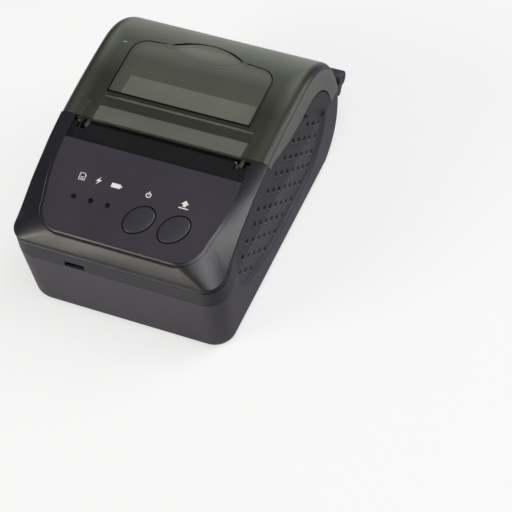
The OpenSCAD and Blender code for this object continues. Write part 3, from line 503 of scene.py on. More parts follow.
def insideLoop(y, z, loop):
    # even-odd rule: how many sides of the loop lie to the right of the point
    a, b = loop, np.roll(loop, -1, axis=0)
    crosses = (a[:, 1] > z[..., None]) != (b[:, 1] > z[..., None])
    rise = np.where(b[:, 1] == a[:, 1], 1e-9, b[:, 1] - a[:, 1])
    at = (b[:, 0] - a[:, 0]) * (z[..., None] - a[:, 1]) / rise + a[:, 0]
    return ((crosses & (y[..., None] < at)).sum(-1) % 2) == 1


leafEdge = curveThrough(leafLower, 6)
leafLoop = np.vstack([leafEdge, [(6.0, 60.0), (-60.0, 60.0), (-60.0, 25.5)]])


def leafDepth(y, z):
    # how far the grip field is sunk: a soft step inside its outline that fades out towards the front
    shape = y.shape
    y, z = y.ravel(), z.ravel()
    signed = lineDistance(y, z, leafEdge) * np.where(insideLoop(y, z, leafLoop), 1, -1)
    depth = leaf["depth"] * smoothStep(signed, 0.0, leaf["edge"])
    return (depth * smoothStep(y, leaf["fadeFrom"], leaf["fadeTo"])).reshape(shape)


def sinkLeaf(points):
    # moves the points of both side walls inwards by the depth of the grip field
    x, y, z = points[..., 0], points[..., 1], points[..., 2]
    wallShare = smoothStep(np.abs(x), body["halfWidth"] - 4.5, body["halfWidth"] - 3.0)
    points[..., 0] = x - np.sign(x) * wallShare * leafDepth(y, z)
    return points


def makeLowerShell():
    # rays from a loop inside the rim, a smaller copy of the plan, to rows down the walls and across the
    # floor; halving a ray 40 times finds where it meets the surface
    outline = planPoints(220, 12, 24, 36)
    count = len(outline)
    inner = np.c_[outline[:, 0] * 0.7, (outline[:, 1] - body["front"]) * 0.653 - 45.0]
    wallRows = np.r_[0, 0.06, 0.14, 0.24, 0.36, np.linspace(0.6, body["parting"] - body["base"], 56)]
    wallRows = body["parting"] - wallRows
    floorRows = np.linspace(0, 1, 7)[1:]
    high, wide = len(wallRows), len(floorRows)
    targets = np.concatenate([
        np.stack([np.repeat(outline[None, :, 0], high, 0), np.repeat(outline[None, :, 1], high, 0),
                  np.repeat(wallRows[:, None], count, 1)], -1),
        np.stack([outline[:, 0] + (inner - outline)[:, 0] * floorRows[:, None],
                  outline[:, 1] + (inner - outline)[:, 1] * floorRows[:, None],
                  np.full((wide, count), body["base"])], -1),
    ])
    start = np.c_[inner, np.full(count, body["parting"])]
    rays = targets - start
    grids = []
    for inset in (0.0, body["gripWall"]):
        near, far = np.zeros(rays.shape[:2]), np.full(rays.shape[:2], 1.3)
        for halving in range(40):
            t = (near + far) / 2
            at = start + rays * t[..., None]
            outside = shellDistance(at[..., 0], at[..., 1], at[..., 2]) + inset > 0
            far, near = np.where(outside, t, far), np.where(outside, near, t)
        grids.append(start + rays * near[..., None])
    outer, cavity = sinkLeaf(grids[0]), grids[1]
    outer[0, :, 2] = cavity[0, :, 2] = body["parting"]
    # the rim's outer edge is rounded off by a quarter of a millimetre
    rim = 0.25 * (1 - np.sqrt(1 - (1 - np.clip((body["parting"] - outer[:6, :, 2]) / 0.3, 0, 1)) ** 2))
    inwards = cavity[:6, :, :2] - outer[:6, :, :2]
    outer[:6, :, :2] += inwards / np.linalg.norm(inwards, axis=-1, keepdims=True) * rim[..., None]
    rows = outer.shape[0]
    middles = [(0, -10, body["base"]), (0, -10, body["base"] + body["wall"])]
    points = np.vstack([outer.reshape(-1, 3), cavity.reshape(-1, 3), middles])
    total = rows * count
    i = np.arange(count)
    k = (i + 1) % count
    last = (rows - 1) * count
    faces = [gridQuads(rows, count, loop=True), gridQuads(rows, count, total, flip=True, loop=True),
             np.stack([i + total, k + total, k, i], -1),
             np.stack([last + i, last + k, np.full(count, 2 * total)], -1),
             np.stack([total + last + k, total + last + i, np.full(count, 2 * total + 1)], -1)]
    shell = makeMesh("lowerShell", points, sum([part.tolist() for part in faces], []))
    mergeDoubles(shell)
    return shell


# the pits of the grip field: each row starts at a Y and Z, has a count, and steps down towards the rear
pits = {"radius": 1.45, "out": 0.45, "margin": 1.7, "stepY": 4.0, "stepZ": -3.85,
        "rows": [(22.8, 33.9, 4), (10.8, 38.3, 6), (3.2, 37.8, 6), (-4.5, 38.0, 7), (-12.0, 37.2, 7),
                 (-20.0, 36.9, 8), (-24.1, 33.8, 7), (-30.9, 32.6, 7), (-35.5, 29.4, 6), (-39.0, 25.1, 4)]}


def makePits():
    # balls whose middles lie a little outside the sunk wall, kept where they are clear of the field's edge
    places = np.array([(y + pits["stepY"] * k, z + pits["stepZ"] * k)
                       for y, z, n in pits["rows"] for k in range(n)])
    y, z = places.T
    places = places[insideLoop(y, z, leafLoop) & (lineDistance(y, z, leafEdge) > pits["margin"])]
    depth = leafDepth(places[:, 0], places[:, 1])
    surface = body["halfWidth"] - body["sideTaper"] * taperAt(places[:, 1]) - depth
    across, down = 16, 9
    a = np.linspace(0, 2 * math.pi, across, endpoint=False)
    b = np.linspace(0, math.pi, down + 1)
    ball = np.stack([np.outer(np.cos(b), np.ones(across)), np.outer(np.sin(b), np.cos(a)),
                     np.outer(np.sin(b), np.sin(a))], -1)
    ball = ball * pits["radius"]
    allPoints, allFaces, count = [], [], 0
    for side in (-1, 1):
        for (y, z), x in zip(places, surface):
            allPoints.append((ball + (side * (x + pits["out"]), y, z)).reshape(-1, 3))
            allFaces.append(gridQuads(down + 1, across, count, loop=True))
            count += (down + 1) * across
    thing = makeMesh("pits", np.vstack(allPoints), np.vstack(allFaces))
    mergeDoubles(thing)
    return thing


shell = makeLowerShell()
pitCutter = makePits()
combine(shell, pitCutter, keep=True)
floorCuts = {
    "door": (-29.9, -50.8, 29.9, -15.2), "footRadius": 3.3, "screwRadius": 2.4,
    "feet": ((-33.4, -41.7), (33.4, -41.7), (-33.4, 19), (33.4, 19)),
    "screws": ((-33.8, -49.5), (33.8, -49.5), (-34.9, 10), (34.9, 10)),
}
combine(shell, prism("doorCut", box(*floorCuts["door"]), -1, 4))
for x, y in floorCuts["feet"]:
    combine(shell, prism("footCut", circle(x, y, floorCuts["footRadius"]), -1, 1.5))
for x, y in floorCuts["screws"]:
    combine(shell, prism("screwCut", circle(x, y, floorCuts["screwRadius"]), -1, 5))
place(shell, "base", shellAbs, ["lower_shell"], 60)
print("lower shell made", len(shell.data.polygons))


# the casing: the plan outline from the tongue round the front, as high as the bezel and cover leave it
def openPlan(rearEnd, countSide, countCorner, countFront, inset=0.0):
    # plan outline from the right rear end round the front to the left rear end, moved inwards by an inset
    w, f, c = body["halfWidth"] - inset, body["front"] + inset, body["frontCorner"]
    right = np.vstack([
        np.c_[np.full(countSide, w), np.linspace(rearEnd, body["front"] + c, countSide, endpoint=False)],
        roundArc(body["halfWidth"] - c, body["front"] + c, c - inset, 0, -90, countCorner)[:-1],
        np.c_[np.linspace(body["halfWidth"] - c, 0, countFront, endpoint=False), np.full(countFront, f)],
    ])
    return np.vstack([right, [[0, f]], right[::-1] * (-1, 1)])


casingStep = {"depth": 0.5, "gap": 0.4}  # it steps in by the depth, a gap below the bezel and the cover
inlet = {"x": -15.1, "halfWidth": 3.75, "low": 27.35, "high": 29.9}


def makeCasing():
    # rows of the plan from the parting line up to the bezel's or the cover's edge, outside and inside
    rearEnd = tongueY + tongueRadius - body["seam"] - 0.02
    counts = (250, 16, 24)
    gap = casingStep["gap"]
    guide = openPlan(rearEnd, *counts)[:, 1]
    grids = []
    for inset in (0.0, body["gripWall"]):
        line = openPlan(rearEnd, *counts, inset)
        over = np.where(guide < body["coverFront"], bezelEdge(guide), skirtEdge(guide + gap)) - gap
        over = np.maximum(over, body["parting"] + 0.4)
        rows = np.r_[0, 0.006, 0.014, 0.024, np.linspace(0.04, 1, 60)][:, None]
        z = body["parting"] + 0.1 + (over - body["parting"] - 0.1) * rows
        grid = np.stack([np.broadcast_to(line[:, 0], z.shape), np.broadcast_to(line[:, 1], z.shape), z], -1)
        if inset == 0:
            # rounded along the parting line, and stepped in under the bezel's edge
            under = openPlan(rearEnd, *counts, 1.0) - line
            step = 0.25 * (1 - smoothStep(z, body["parting"] + 0.1, body["parting"] + 0.4))
            nearTop = 1 - smoothStep(over - z, 0.25, 0.9)
            step += casingStep["depth"] * nearTop * (guide < body["coverFront"] + 0.5)
            grid[..., :2] += under * step[..., None]
        grids.append(grid)
    return thickSheet("casing", sinkLeaf(grids[0])[::-1], grids[1][::-1])


casing = makeCasing()
recalculate(casing)
combine(casing, pitCutter)
inletPlan = box(inlet["x"] - inlet["halfWidth"], -60, inlet["x"] + inlet["halfWidth"], -50)
combine(casing, prism("inletCut", inletPlan, inlet["low"], inlet["high"]))
place(casing, "base", casingAbs, ["upper_casing"], 60)
print("casing made", len(casing.data.polygons))


# the outline of the key panel on its own slope: sides of a large radius and rounded front corners
panelPlan = {"halfWidth": 33.7, "sideV": 14, "sideRadius": 75, "cornerX": 21.2, "cornerRadius": 9.4}


def panelOutline(steps):
    # its right half, from the rear corner down to the middle of the front edge
    s = panelPlan
    # the curve of the side ends 0.4 mm short of the rear corner
    sideEnd = math.degrees(math.asin((panelHalf - s["sideV"] - 0.4) / s["sideRadius"]))
    side = roundArc(s["halfWidth"] - s["sideRadius"], s["sideV"], s["sideRadius"], sideEnd, -15, steps)
    corner = roundArc(s["cornerX"], -panelHalf + s["cornerRadius"], s["cornerRadius"], -4, -90, steps)
    return np.vstack([[(s["halfWidth"], panelHalf)], side, corner])


def onPanel(u, v, w=0.0):
    # a place on the panel's slope: u across, v up the slope, w out of it
    c, s = math.cos(panelTilt), math.sin(panelTilt)
    y, z = panelMiddle[1] + v * c - w * s, panelMiddle[2] + v * s + w * c
    return np.stack(np.broadcast_arrays(u, y, z), -1)


# the bezel: a section of wall, rounded edge and rail carried round the plan, open at the panel
rail = {"rim": 0.35, "edge": 0.45, "bulge": 0.15, "halfWidth": 39.7, "front": -56.5, "corner": 6.0,
        "thick": 1.2}


def bezelPaths(rearEnd):
    # matching points on the bezel's outer edge (plan) and on the panel's outline: side, corner, front
    w, f, c = rail["halfWidth"], rail["front"], rail["corner"]
    cornerX, cornerRadius = panelPlan["cornerX"], panelPlan["cornerRadius"]
    sideSteps = 40
    opening = panelOutline(sideSteps)
    plan = onPanel(opening[:, 0], opening[:, 1])[:sideSteps + 2]
    y = np.linspace(rearEnd, f + c, 90)
    shift = np.clip((-25 - y) / 25.5, 0, 1) ** 2 * (plan[-1, 1] - f - c)
    order = np.argsort(plan[:, 1])
    innerY = y + shift
    innerX = np.interp(innerY, plan[order, 1], plan[order, 0])
    turn = np.radians(np.linspace(0, -90, 33))[1:]
    corner = onPanel(cornerX + cornerRadius * np.cos(turn), -panelHalf + cornerRadius * (1 + np.sin(turn)))
    share = np.linspace(1, 0, 40)[1:]
    outer = np.vstack([np.c_[np.full(90, w), y], np.c_[w - c + c * np.cos(turn), f + c + c * np.sin(turn)],
                       np.c_[(w - c) * share, np.full(39, f)]])
    inner = np.vstack([np.c_[innerX, innerY], corner[:, :2],
                       np.c_[cornerX * share, np.full(39, corner[-1, 1])]])
    return outer, inner


def makeBezel():
    # the sides and front slope straight from the panel's edge to a crisp outer edge, with a slight bulge
    outer, inner = bezelPaths(body["coverFront"] - 0.2)
    low = bezelEdge(outer[:, 1])
    slopeZ = panelMiddle[2] + (inner[:, 1] - panelMiddle[1]) * math.tan(panelTilt)
    top = np.minimum(slopeZ, crown(inner[:, 1]) - 0.2)
    start = np.c_[outer, low + rail["rim"] + rail["edge"]]
    end = np.c_[inner, top]
    away = end - start
    length = np.linalg.norm(away, axis=1, keepdims=True)
    along = away / length
    # the outer edge is a small arc from the upright rim into the slope
    share = np.linspace(0, 1, 9)[:, None, None]
    base = start + along * rail["edge"]
    rimPoint = np.c_[outer, low + rail["rim"]]
    arc = (1 - share) ** 2 * rimPoint + 2 * share * (1 - share) * start + share**2 * base
    t = np.linspace(0, 1, 26)[1:, None, None]
    up = np.cross(along, np.cross(np.array([0, 0, 1.0]), along))
    up /= np.linalg.norm(up, axis=1, keepdims=True)
    slope = base + (end - base) * t + up * (rail["bulge"] * 4 * t * (1 - t))
    grid = np.concatenate([np.c_[outer, low][None], arc, slope, slope[-1:] - (0, 0, 1.6)])
    mirrored = grid[:, :-1][:, ::-1] * (-1, 1, 1)
    grid = np.concatenate([grid, mirrored], 1)
    normals = gridNormals(grid)
    if normals[16, 5, 2] < 0:  # a spot on the slope shows whether they point down
        normals = -normals
    inside = grid - normals * rail["thick"]
    inside[0] = grid[0] + (inside[1] - grid[1]) * (1, 1, 0)
    inside[-1] = grid[-1] + (inside[-2] - grid[-2]) * (1, 1, 0)
    thing = thickSheet("bezel", grid, inside)
    recalculate(thing)
    return thing


bezel = makeBezel()
place(bezel, "base", bezelAbs, ["front_bezel"])
print("bezel made", len(bezel.data.polygons))


# the key panel, its buttons, lamps and printed marks
onSlope = Matrix.Translation(panelMiddle) @ Matrix.Rotation(panelTilt, 4, "X")
keys = {"x": (4.6, 17.8), "v": -5.7, "long": 5.95, "short": 4.45, "turn": 50, "gap": 0.42, "proud": 0.55}
lamps = {"x": (-21.2, -14.7, -8.2), "v": -3.7, "radius": 1.0}


def oval(cx, cy, grow=0.0, share=1.0, steps=96):
    # the tilted oval of a key, grown on every side
    a = np.linspace(0, 2 * math.pi, steps, endpoint=False)
    x, y = (keys["long"] + grow) * share * np.cos(a), (keys["short"] + grow) * share * np.sin(a)
    c, s = math.cos(math.radians(keys["turn"])), math.sin(math.radians(keys["turn"]))
    return np.c_[cx + x * c - y * s, cy + x * s + y * c]


def makePanel():
    # a flat sheet with holes for the keys and lamps
    half = panelOutline(24)
    loop = np.vstack([half, half[::-1][1:] * (-1, 1)])
    panel = prism("panel", loop[::-1], -1.2, 0.0, onSlope)
    recalculate(panel)
    for x in keys["x"]:
        combine(panel, prism("keyCut", oval(x, keys["v"], keys["gap"]), -3, 3, onSlope))
    for x in lamps["x"]:
        combine(panel, prism("lampCut", circle(x, lamps["v"], lamps["radius"]), -3, 3, onSlope))
    bevelEdges(panel, 0.03, 2)
    return panel


place(makePanel(), "base", panelSheet, ["control_panel"], weigh=True)


def makeKey(name, x, bodyName, node):
    # rings of the oval from the dome's middle over the rounded edge down to the flange
    top = keys["proud"]
    rows = [(k / 10, -0.5, top - 0.22 * (k / 10) ** 2) for k in range(1, 11)]
    rows += [(1, -0.5 + 0.5 * math.sin(b), top - 0.67 + 0.45 * math.cos(b))
             for b in np.linspace(0.2, math.pi / 2, 7)]
    rows += [(1, 0.0, -3.0), (1, 0.9, -3.1), (1, 0.9, -4.2)]
    rings = [onPanel(*oval(x, keys["v"], grow, share).T, w) for share, grow, w in rows]
    points = np.vstack([onPanel(x, keys["v"], top)[None]] + rings + [onPanel(x, keys["v"], -4.2)[None]])
    n, count = 96, len(rows)
    i = np.arange(n)
    k = (i + 1) % n
    last = 1 + (count - 1) * n
    faces = np.stack([np.zeros(n, int), 1 + i, 1 + k], -1).tolist()
    faces += gridQuads(count, n, 1, loop=True).tolist()
    faces += np.stack([last + k, last + i, np.full(n, 1 + count * n)], -1).tolist()
    thing = makeMesh(name, points, faces)
    recalculate(thing)
    place(thing, bodyName, buttonAbs, [node], 40)


makeKey("powerButton", keys["x"][0], "power_key", "power_button")
makeKey("feedButton", keys["x"][1], "feed_key", "feed_button")


def strip(points, width, closed=False):
    # the two edges of a flat band of even width along a line on the panel
    p = np.asarray(points, float)
    d = np.roll(p, -1, 0) - np.roll(p, 1, 0) if closed else np.gradient(p, axis=0)
    n = np.stack([-d[:, 1], d[:, 0]], -1)
    n /= np.linalg.norm(n, axis=1, keepdims=True)
    return p + n * width / 2, p - n * width / 2


def printMark(name, loops):
    # thin printed shapes on the panel: each loop is an outline, or a pair of edges for a band
    height = 0.02  # clear of the panel
    points, faces, count = [], [], 0
    for loop in loops:
        if isinstance(loop, tuple):
            a, b = loop
            n = len(a)
            flat = np.vstack([a, b])
            closed = np.linalg.norm(a[0] - a[-1]) < 3 * np.linalg.norm(a[0] - a[1])
            last = n if closed else n - 1
            steps = [(count + i, count + (i + 1) % n) for i in range(last)]
            faces += [(i, k, k + n, i + n) for i, k in steps]
        else:
            flat = np.asarray(loop, float)
            faces.append(tuple(range(count, count + len(flat))))
        points.append(onPanel(flat[:, 0], flat[:, 1], height))
        count += len(flat)
    thing = makeMesh(name, np.vstack(points), faces)
    work = bmesh.new()
    work.from_mesh(thing.data)
    for face in work.faces:
        if face.normal.z < 0:
            face.normal_flip()
    work.to_mesh(thing.data)
    work.free()
    place(thing, "base", markInk)


def ring(cx, cy, radius, start, end, width, steps=28):
    # a band along an arc
    return strip(roundArc(cx, cy, radius, start, end, steps), width)


# the marks: a sheet of paper, a flash, a battery, the power sign and an arrow off a line
sheet = [(-22.3, 2.9), (-20.1, 2.9), (-20.1, 4.9), (-20.7, 5.5), (-22.3, 5.5)]
printMark("paperMark", [strip(sheet, 0.3, True), box(-21.8, 3.9, -20.6, 4.15), box(-21.8, 3.3, -20.6, 3.55)])
flash = [(-14.4, 5.8), (-16.0, 4.0), (-15.0, 4.0), (-15.6, 2.6), (-13.8, 4.6), (-14.9, 4.6)]
arrow = [(17.8, 5.6), (16.3, 4.1), (17.2, 4.1), (17.2, 3.2), (18.4, 3.2), (18.4, 4.1), (19.3, 4.1)]
printMark("chargeMark", [flash])
printMark("batteryMark", [box(-10.0, 3.2, -6.6, 4.9), box(-6.5, 3.65, -6.05, 4.45)])
printMark("powerMark", [ring(4.2, 3.9, 0.85, 115, 425, 0.36), box(4.02, 4.0, 4.38, 5.3)])
printMark("feedMark", [arrow, box(16.0, 2.4, 19.6, 2.8)])
print("panel made")


# the sunk plate behind the panel, up to the paper slot
deck = {"drop": 1.35, "thick": 1.5, "halfWidth": 35.0, "slot": -11.2,
        "right": [(26.5, -16), (30.5, -12), (32.3, -8), (34.5, 0)]}
latch = {"x": 30.0, "holeHalf": 2.1, "holeFront": -13.6, "holeRear": -8,
         "ledgeHalf": 1.8, "ledgeFront": -14.6, "ledgeRear": -12.5, "ledgeLow": 43.6, "ledgeHigh": 44.8}


def makeDeck():
    # a plate parallel to the panel, with holes for the keys, the lamps and the flap's hooks
    vEnd = (deck["slot"] - panelMiddle[1]) / math.cos(panelTilt) - deck["drop"] * math.tan(panelTilt)
    right = np.array(deck["right"] + [(deck["halfWidth"], vEnd)], float)
    outline = np.vstack([right, right[::-1] * (-1, 1)])
    plate = prism("deck", outline, -deck["drop"] - deck["thick"], -deck["drop"], onSlope)
    recalculate(plate)
    for x in keys["x"]:
        combine(plate, prism("keyCut", oval(x, keys["v"], keys["gap"] + 0.05, steps=48), -6, 3, onSlope))
    for x in lamps["x"]:
        combine(plate, prism("lampCut", circle(x, lamps["v"], lamps["radius"] + 0.05), -6, 3, onSlope))
    for side in (-1, 1):
        x, half = side * latch["x"], latch["holeHalf"]
        hole = box(x - half, latch["holeFront"], x + half, latch["holeRear"])
        combine(plate, prism("hookCut", hole, 30, 60))
    return plate


place(makeDeck(), "base", deckAbs)
for side in (-1, 1):
    x, half = side * latch["x"], latch["ledgeHalf"]
    ledge = prism("catchLedge", box(x - half, latch["ledgeFront"], x + half, latch["ledgeRear"]),
                  latch["ledgeLow"], latch["ledgeHigh"])
    place(ledge, "base", deckAbs)
print("slot surround made")


# the cover: a section of skirt, rounded edge and crown carried over the top and down the rear
def makeCover():
    # each row of the grid is a section across the cover, hung from a point of the side view
    r0, r1 = body["edgeRadius"], body["rearEdgeRadius"]
    alpha = np.arcsin((body["rearY"] - body["coverFront"]) / body["crownRadius"])
    end = math.asin((body["parting"] + body["seam"] - body["rearZ"]) / body["rearRadius"])
    overTop, downRear = 70, 90  # rows on the crown and on the round rear
    turn = np.r_[math.pi / 2 + np.linspace(alpha, 0, overTop, endpoint=False),
                 np.linspace(math.pi / 2, end, downRear)]
    cz = np.r_[np.full(overTop, body["top"] - body["crownRadius"]), np.full(downRear, body["rearZ"])]
    rr = np.r_[np.full(overTop, body["crownRadius"]), np.full(downRear, body["rearRadius"])]
    ny, nz = np.cos(turn), np.sin(turn)
    py, pz = body["rearY"] + rr * ny, cz + rr * nz
    radius = r0 + (r1 - r0) * smoothStep(math.pi / 2 - turn, 0.3, 1.5)
    # direction into the skirt: straight down at the front lip, along the normal further back
    blend = smoothStep(py, body["coverFront"], body["coverFront"] + 8)
    dy, dz = -ny * blend, -nz * blend - (1 - blend)
    norm = np.hypot(dy, dz)
    dy, dz = dy / norm, dz / norm
    # how deep the skirt is: the first of many small steps that lies past the lower edge
    reach = np.linspace(0, 26, 1041)[None]
    gy, gz = py[:, None] + dy[:, None] * reach, pz[:, None] + dz[:, None] * reach
    inside = np.where(gy > tongueY + tongueRadius, gz > body["parting"] + body["seam"], gz > skirtEdge(gy))
    depth = np.maximum(reach[0][np.argmin(inside, axis=1)], radius)
    grids = []
    for inset in (0.0, body["wall"]):
        # half a section: up the skirt, round the edge, in to the middle; X and the depth below the surface
        r = np.maximum(radius - inset, 0.4)[:, None]
        sideW = body["halfWidth"] - inset
        wallDepth = radius[:, None] + (depth - radius)[:, None] * np.linspace(1, 0, 15)[:-1]
        q = np.linspace(0, math.pi / 2, 11)[None]
        roundDepth = inset + r * (1 - np.sin(q))
        topX = (sideW - r) * np.linspace(1, 0, 30)[1:][None]
        halfX = np.concatenate([np.full(wallDepth.shape, sideW), sideW - r * (1 - np.cos(q)), topX], 1)
        halfDepth = np.concatenate([np.maximum(wallDepth, roundDepth[:, :1]), roundDepth,
                                    np.full(topX.shape, inset)], 1)
        x = np.concatenate([halfX, -halfX[:, ::-1][:, 1:]], 1)
        below = np.concatenate([halfDepth, halfDepth[:, ::-1][:, 1:]], 1)
        grids.append(np.stack([x, py[:, None] + dy[:, None] * below, pz[:, None] + dz[:, None] * below], -1))
    thing = thickSheet("cover", grids[0], grids[1])
    recalculate(thing)
    return thing


flapShape = {"halfWidth": 27.0, "front": 3.3, "length": 24.7, "corner": 6.0, "arc": 4.6, "notch": 13.6,
             "gap": 0.4, "frontGap": 0.8}
armSlot = {"x": 29.55, "half": 0.95, "front": -10.5, "rear": -7.5, "low": 44, "high": 48.2}


def flapPlan(grow, frontGrow=None):
    # the flap's outline grown on every side: straight front and sides, round rear corners, the scoop's arc
    s = flapShape
    y0 = s["front"] - (grow if frontGrow is None else frontGrow)
    y1 = s["front"] + s["length"]
    radius = (s["notch"] ** 2 + s["arc"] ** 2) / (2 * s["arc"])
    half = math.degrees(math.asin(s["notch"] / radius))
    return np.vstack([
        [(-s["halfWidth"] - grow, y0), (s["halfWidth"] + grow, y0)],
        roundArc(s["halfWidth"] - s["corner"], y1 - s["corner"], s["corner"] + grow, 0, 76, 10),
        roundArc(0, y1 + 0.7 + s["arc"] - radius, radius + grow, 90 - half, 90 + half, 28),
        roundArc(-s["halfWidth"] + s["corner"], y1 - s["corner"], s["corner"] + grow, 104, 180, 10),
    ])


def paintGapShade(thing, reach):
    # the narrow faces along the flap's outline take a near-black painted shade for the gap round the flap;
    # reach is in millimetres
    line = flapPlan(flapShape["gap"] / 2)
    line = np.vstack([line, line[:1]])
    count = len(thing.data.polygons)
    centres = np.empty(count * 3)
    thing.data.polygons.foreach_get("center", centres)
    normals = np.empty(count * 3)
    thing.data.polygons.foreach_get("normal", normals)
    centres, normals = centres.reshape(-1, 3) / mm, normals.reshape(-1, 3)
    near = lineDistance(centres[:, 0], centres[:, 1], line) < reach
    chosen = near & (np.abs(normals[:, 2]) < 0.6)
    thing.data.materials.append(flapGapShade)
    thing.data.polygons.foreach_set("material_index", chosen.astype(np.int32))


cover = makeCover()
combine(cover, prism("flapHole", flapPlan(flapShape["gap"], flapShape["frontGap"]), 40, 60))
for side in (-1, 1):
    x, half = side * armSlot["x"], armSlot["half"]
    combine(cover, prism("armCut", box(x - half, armSlot["front"], x + half, armSlot["rear"]),
                         armSlot["low"], armSlot["high"]))
place(cover, "cover", smokedCover, ["cover_shell"])
paintGapShade(cover, 0.7)
print("cover made", len(cover.data.polygons))


# the flap: a sheet that follows the crown, cut to its plan, with a finger scoop
scoop = {"at": (0.0, 29.3, 52.9), "axes": (14.6, 5.6, 3.3), "wall": 1.3}


def ballMesh(name, radius, centre, across=96, down=48):
    # a ball, or an egg where the radius is three numbers
    a = np.linspace(0, 2 * math.pi, across, endpoint=False)
    b = np.linspace(0, math.pi, down + 1)
    grid = np.stack([np.outer(np.sin(b), np.cos(a)), np.outer(np.sin(b), np.sin(a)),
                     np.outer(np.cos(b), np.ones(across))], -1)
    thing = makeMesh(name, (grid * radius + centre).reshape(-1, 3), gridQuads(down + 1, across, loop=True))
    mergeDoubles(thing)
    return thing


def makeFlap():
    # a thick sheet with the scoop's underside joined on, cut to the plan, then hollowed by the scoop
    yy, xx = np.meshgrid(np.linspace(0, 36, 90), np.linspace(-30, 30, 40), indexing="ij")

    def sheet(drop):
        # the cover's outside lowered by a drop: the crown in front, the round rear behind
        past = np.clip(yy - body["rearY"], 0, None)
        rear = body["rearZ"] + np.sqrt((body["rearRadius"] - drop) ** 2 - past**2)
        return np.stack([xx, yy, np.where(yy > body["rearY"], rear, crown(yy, drop))], -1)

    thing = thickSheet("flap", sheet(0.1), sheet(body["wall"]))
    recalculate(thing)
    combine(thing, ballMesh("scoopUnder", np.array(scoop["axes"]) + scoop["wall"], scoop["at"]), "UNION")
    combine(thing, prism("flapCut", flapPlan(0.0), 44, 51.99), "INTERSECT")
    combine(thing, ballMesh("scoopCut", np.array(scoop["axes"]), scoop["at"]))
    bevelEdges(thing, 0.25, 3, 50)
    return thing


flap = makeFlap()
place(flap, "flap", smokedFlap, ["release_flap"])
paintGapShade(flap, 0.7)

# Z turned to X, X to Y and Y to Z
sideways = Matrix(((0, 0, 1, 0), (1, 0, 0, 0), (0, 1, 0, 0), (0, 0, 0, 1)))


def sideView(name, outline, low, high):
    # an outline in Y and Z carried along X
    return prism(name, outline, low, high, sideways)


# the flap's two arms: from the hook at the slot back over the pivot to the flap's front edge
armOutline = [(-13.0, 42.2), (-11.6, 41.6), (-10.2, 42.4), (-10.2, 45.2), (-5.6, 45.0), (2.0, 45.0),
              (6.3, 45.0), (6.3, 46.0), (3.8, 46.6), (-1.8, 46.8), (-2.8, 47.9), (-5.2, 47.9),
              (-6.6, 47.2), (-11.6, 46.8), (-11.6, 43.3), (-13.0, 43.3)]
for low, high in ((-30.2, -28.9), (28.9, 30.2)):
    arm = sideView("flapArm", armOutline, low, high)
    recalculate(arm)
    bevelEdges(arm, 0.15, 2)
    place(arm, "flap", smokedFlap)
print("flap made")


# hinge knuckles: barrels with rounded ends on webs, two on the shell and two on the cover
knuckle = {
    "y": 53.9, "z": 25.5, "radius": 2.8, "edge": 0.35, "bore": 0.95,
    "shellSpans": ((31.5, 39.0), (-39.0, -31.5)), "coverSpans": ((12.0, 31.2), (-31.2, -12.0)),
    "shellWeb": [(49.2, 21.0), (50.7, 21.0), (52.6, 23.2), (51.2, 25.5), (49.2, 25.5)],
    "coverWeb": [(49.3, 27.25), (51.6, 27.25), (52.4, 27.9), (49.3, 30.0)],
}


def makeKnuckle(name, low, high, web, bodyName, material):
    # a bored barrel turned from its profile, joined to a web that carries its outline along X
    r, e, bore = knuckle["radius"], knuckle["edge"], knuckle["bore"]
    profile = np.vstack([[(bore, low)], roundArc(r - e, low + e, e, -90, 0, 4),
                         roundArc(r - e, high - e, e, 0, 90, 4), [(bore, high)], [(bore, low)]])
    thing = lathe(name, profile, 48, Matrix.Translation((0, knuckle["y"], knuckle["z"])) @ sideways)
    flesh = sideView(name + "Web", web, low + 0.05, high - 0.05)
    combine(thing, flesh, "UNION")
    place(thing, bodyName, material)


for low, high in knuckle["shellSpans"]:
    makeKnuckle("shellKnuckle", low, high, knuckle["shellWeb"], "base", shellAbs)
for low, high in knuckle["coverSpans"]:
    makeKnuckle("coverKnuckle", low, high, knuckle["coverWeb"], "cover", smokedCover)
print("hinge made")


# finishes of the frame's own nodes
finishes = {
    "power_switch": blackPlastic, "feed_switch": blackPlastic, "key_board": solderMask,
    "status_leds": lampEpoxy, "light_guides": frostedAcrylic, "main_board": solderMask,
    "board_chips": blackPlastic, "radio_module": tinPlate, "usb_socket": tinPlate,
    "battery": shrinkSleeve, "battery_contacts": goldContact, "battery_door": shellAbs,
    "head_ribbon": polyimide, "mechanism_frame": pressedSteel, "thermal_head": ceramicPlate,
    "head_heatsink": milledAluminium, "head_pivot_pin": groundSteel, "head_springs": groundSteel,
    "stepper_motor": pressedSteel, "motor_shaft": groundSteel, "motor_pinion": turnedBrass,
    "idler_gear": acetal, "idler_post": groundSteel, "tear_bar": tearBarShade, "paper_bay": bayAbs,
    "paper_sensor": blackPlastic, "cover_frame": frameAbs, "platen_bushings": turnedBrass,
    "platen_roller": rubber, "platen_shaft": groundSteel, "platen_gear": acetal,
    "flap_pins": blackSteel, "flap_springs": blackSteel, "hinge_pin": groundSteel,
    "hinge_spring": groundSteel, "case_screws": pressedSteel, "frame_screws": pressedSteel,
    "rubber_feet": rubber,
}
for node, material in finishes.items():
    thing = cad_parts[node]
    thing.data.materials.clear()
    thing.data.materials.append(material)
print("finishes set")


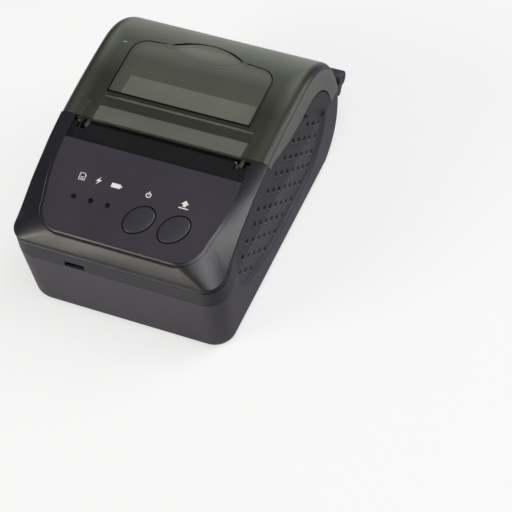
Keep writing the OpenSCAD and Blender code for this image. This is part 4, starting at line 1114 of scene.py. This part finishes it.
# floor, light and background; a light has a place and a target, its size in metres, its power and its tint
stage = {
    "floor": "#a4a4a4", "floorGlow": 0.63, "floorHalf": 1500.0,
    "bounce": "#ececec", "shadedBounceRight": "#b4b4b4", "bounceTurn": (0.010, 0.050),
    "sky": 0.12, "skyTint": (0.94, 0.95, 0.97, 1),
    "lights": (
        ("keyLight", (1.0, 0.75, 0.8), (0, 0, 0.02), (0.9, 0.9), 7.0, (1, 1, 1)),
        ("frontLight", (-0.85, -1.0, 0.66), (0, 0, 0.03), (0.85, 0.5), 9.0, (1, 0.96, 0.86)),
        ("topLight", (0.34, -0.09, 1.2), (0, 0, 0.03), (1.2, 0.48), 7.4, (1, 0.99, 1))),
}


def makeFloor():
    # matt card: the camera sees it glow a little, every other ray meets it plain, and greyer at the right, a
    # painted shade on the floor seen only in reflections and bounced light
    corners = np.array([(-1, -1, 0), (1, -1, 0), (1, 1, 0), (-1, 1, 0)]) * stage["floorHalf"]
    floor = makeMesh("floor", corners, [(0, 1, 2, 3)])
    material, tree, shader = startMaterial("pale studio floor")
    shader.inputs["Roughness"].default_value = 0.9
    shader.inputs["Specular IOR Level"].default_value = 0.0
    shader.inputs["Emission Color"].default_value = (1, 1, 1, 1)
    seen = addNode(tree, "ShaderNodeLightPath").outputs["Is Camera Ray"]
    at = addNode(tree, "ShaderNodeTexCoord").outputs["Object"]
    across = addNode(tree, "ShaderNodeSeparateXYZ", (), {"Vector": at}).outputs["X"]
    low, high = stage["bounceTurn"]
    share = addNode(tree, "ShaderNodeMapRange", {"From Min": low, "From Max": high}, {"Value": across})
    bounce = addNode(tree, "ShaderNodeMix", {"data_type": "RGBA", 6: colour(stage["bounce"]),
                                             7: colour(stage["shadedBounceRight"])}, {0: share.outputs["Result"]})
    card = addNode(tree, "ShaderNodeMix", {"data_type": "RGBA", 7: colour(stage["floor"])},
                   {0: seen, 6: bounce.outputs[2]})
    glow = addNode(tree, "ShaderNodeMath", {"operation": "MULTIPLY", 1: stage["floorGlow"]}, {0: seen})
    tree.links.new(card.outputs[2], shader.inputs["Base Color"])
    tree.links.new(glow.outputs["Value"], shader.inputs["Emission Strength"])
    floor.data.materials.append(material)


def makeLights():
    # a dim pale world, and the lamps, each turned to its target
    scene = bpy.context.scene
    if scene.world is None:
        scene.world = bpy.data.worlds.new("studio")
    scene.world.use_nodes = True
    background = scene.world.node_tree.nodes["Background"]
    background.inputs["Color"].default_value = stage["skyTint"]
    background.inputs["Strength"].default_value = stage["sky"]
    for name, where, target, size, power, tint in stage["lights"]:
        data = bpy.data.lights.new(name, "AREA")
        data.shape = "RECTANGLE"
        data.size, data.size_y = size
        data.energy = power
        data.color = tint
        lamp = bpy.data.objects.new(name, data)
        scene.collection.objects.link(lamp)
        lamp.location = where
        lamp.rotation_euler = (Vector(target) - Vector(where)).to_track_quat("-Z", "Y").to_euler()


makeFloor()
makeLights()
print("floor and lights placed")
bpy.context.scene.view_settings.view_transform = "Standard"
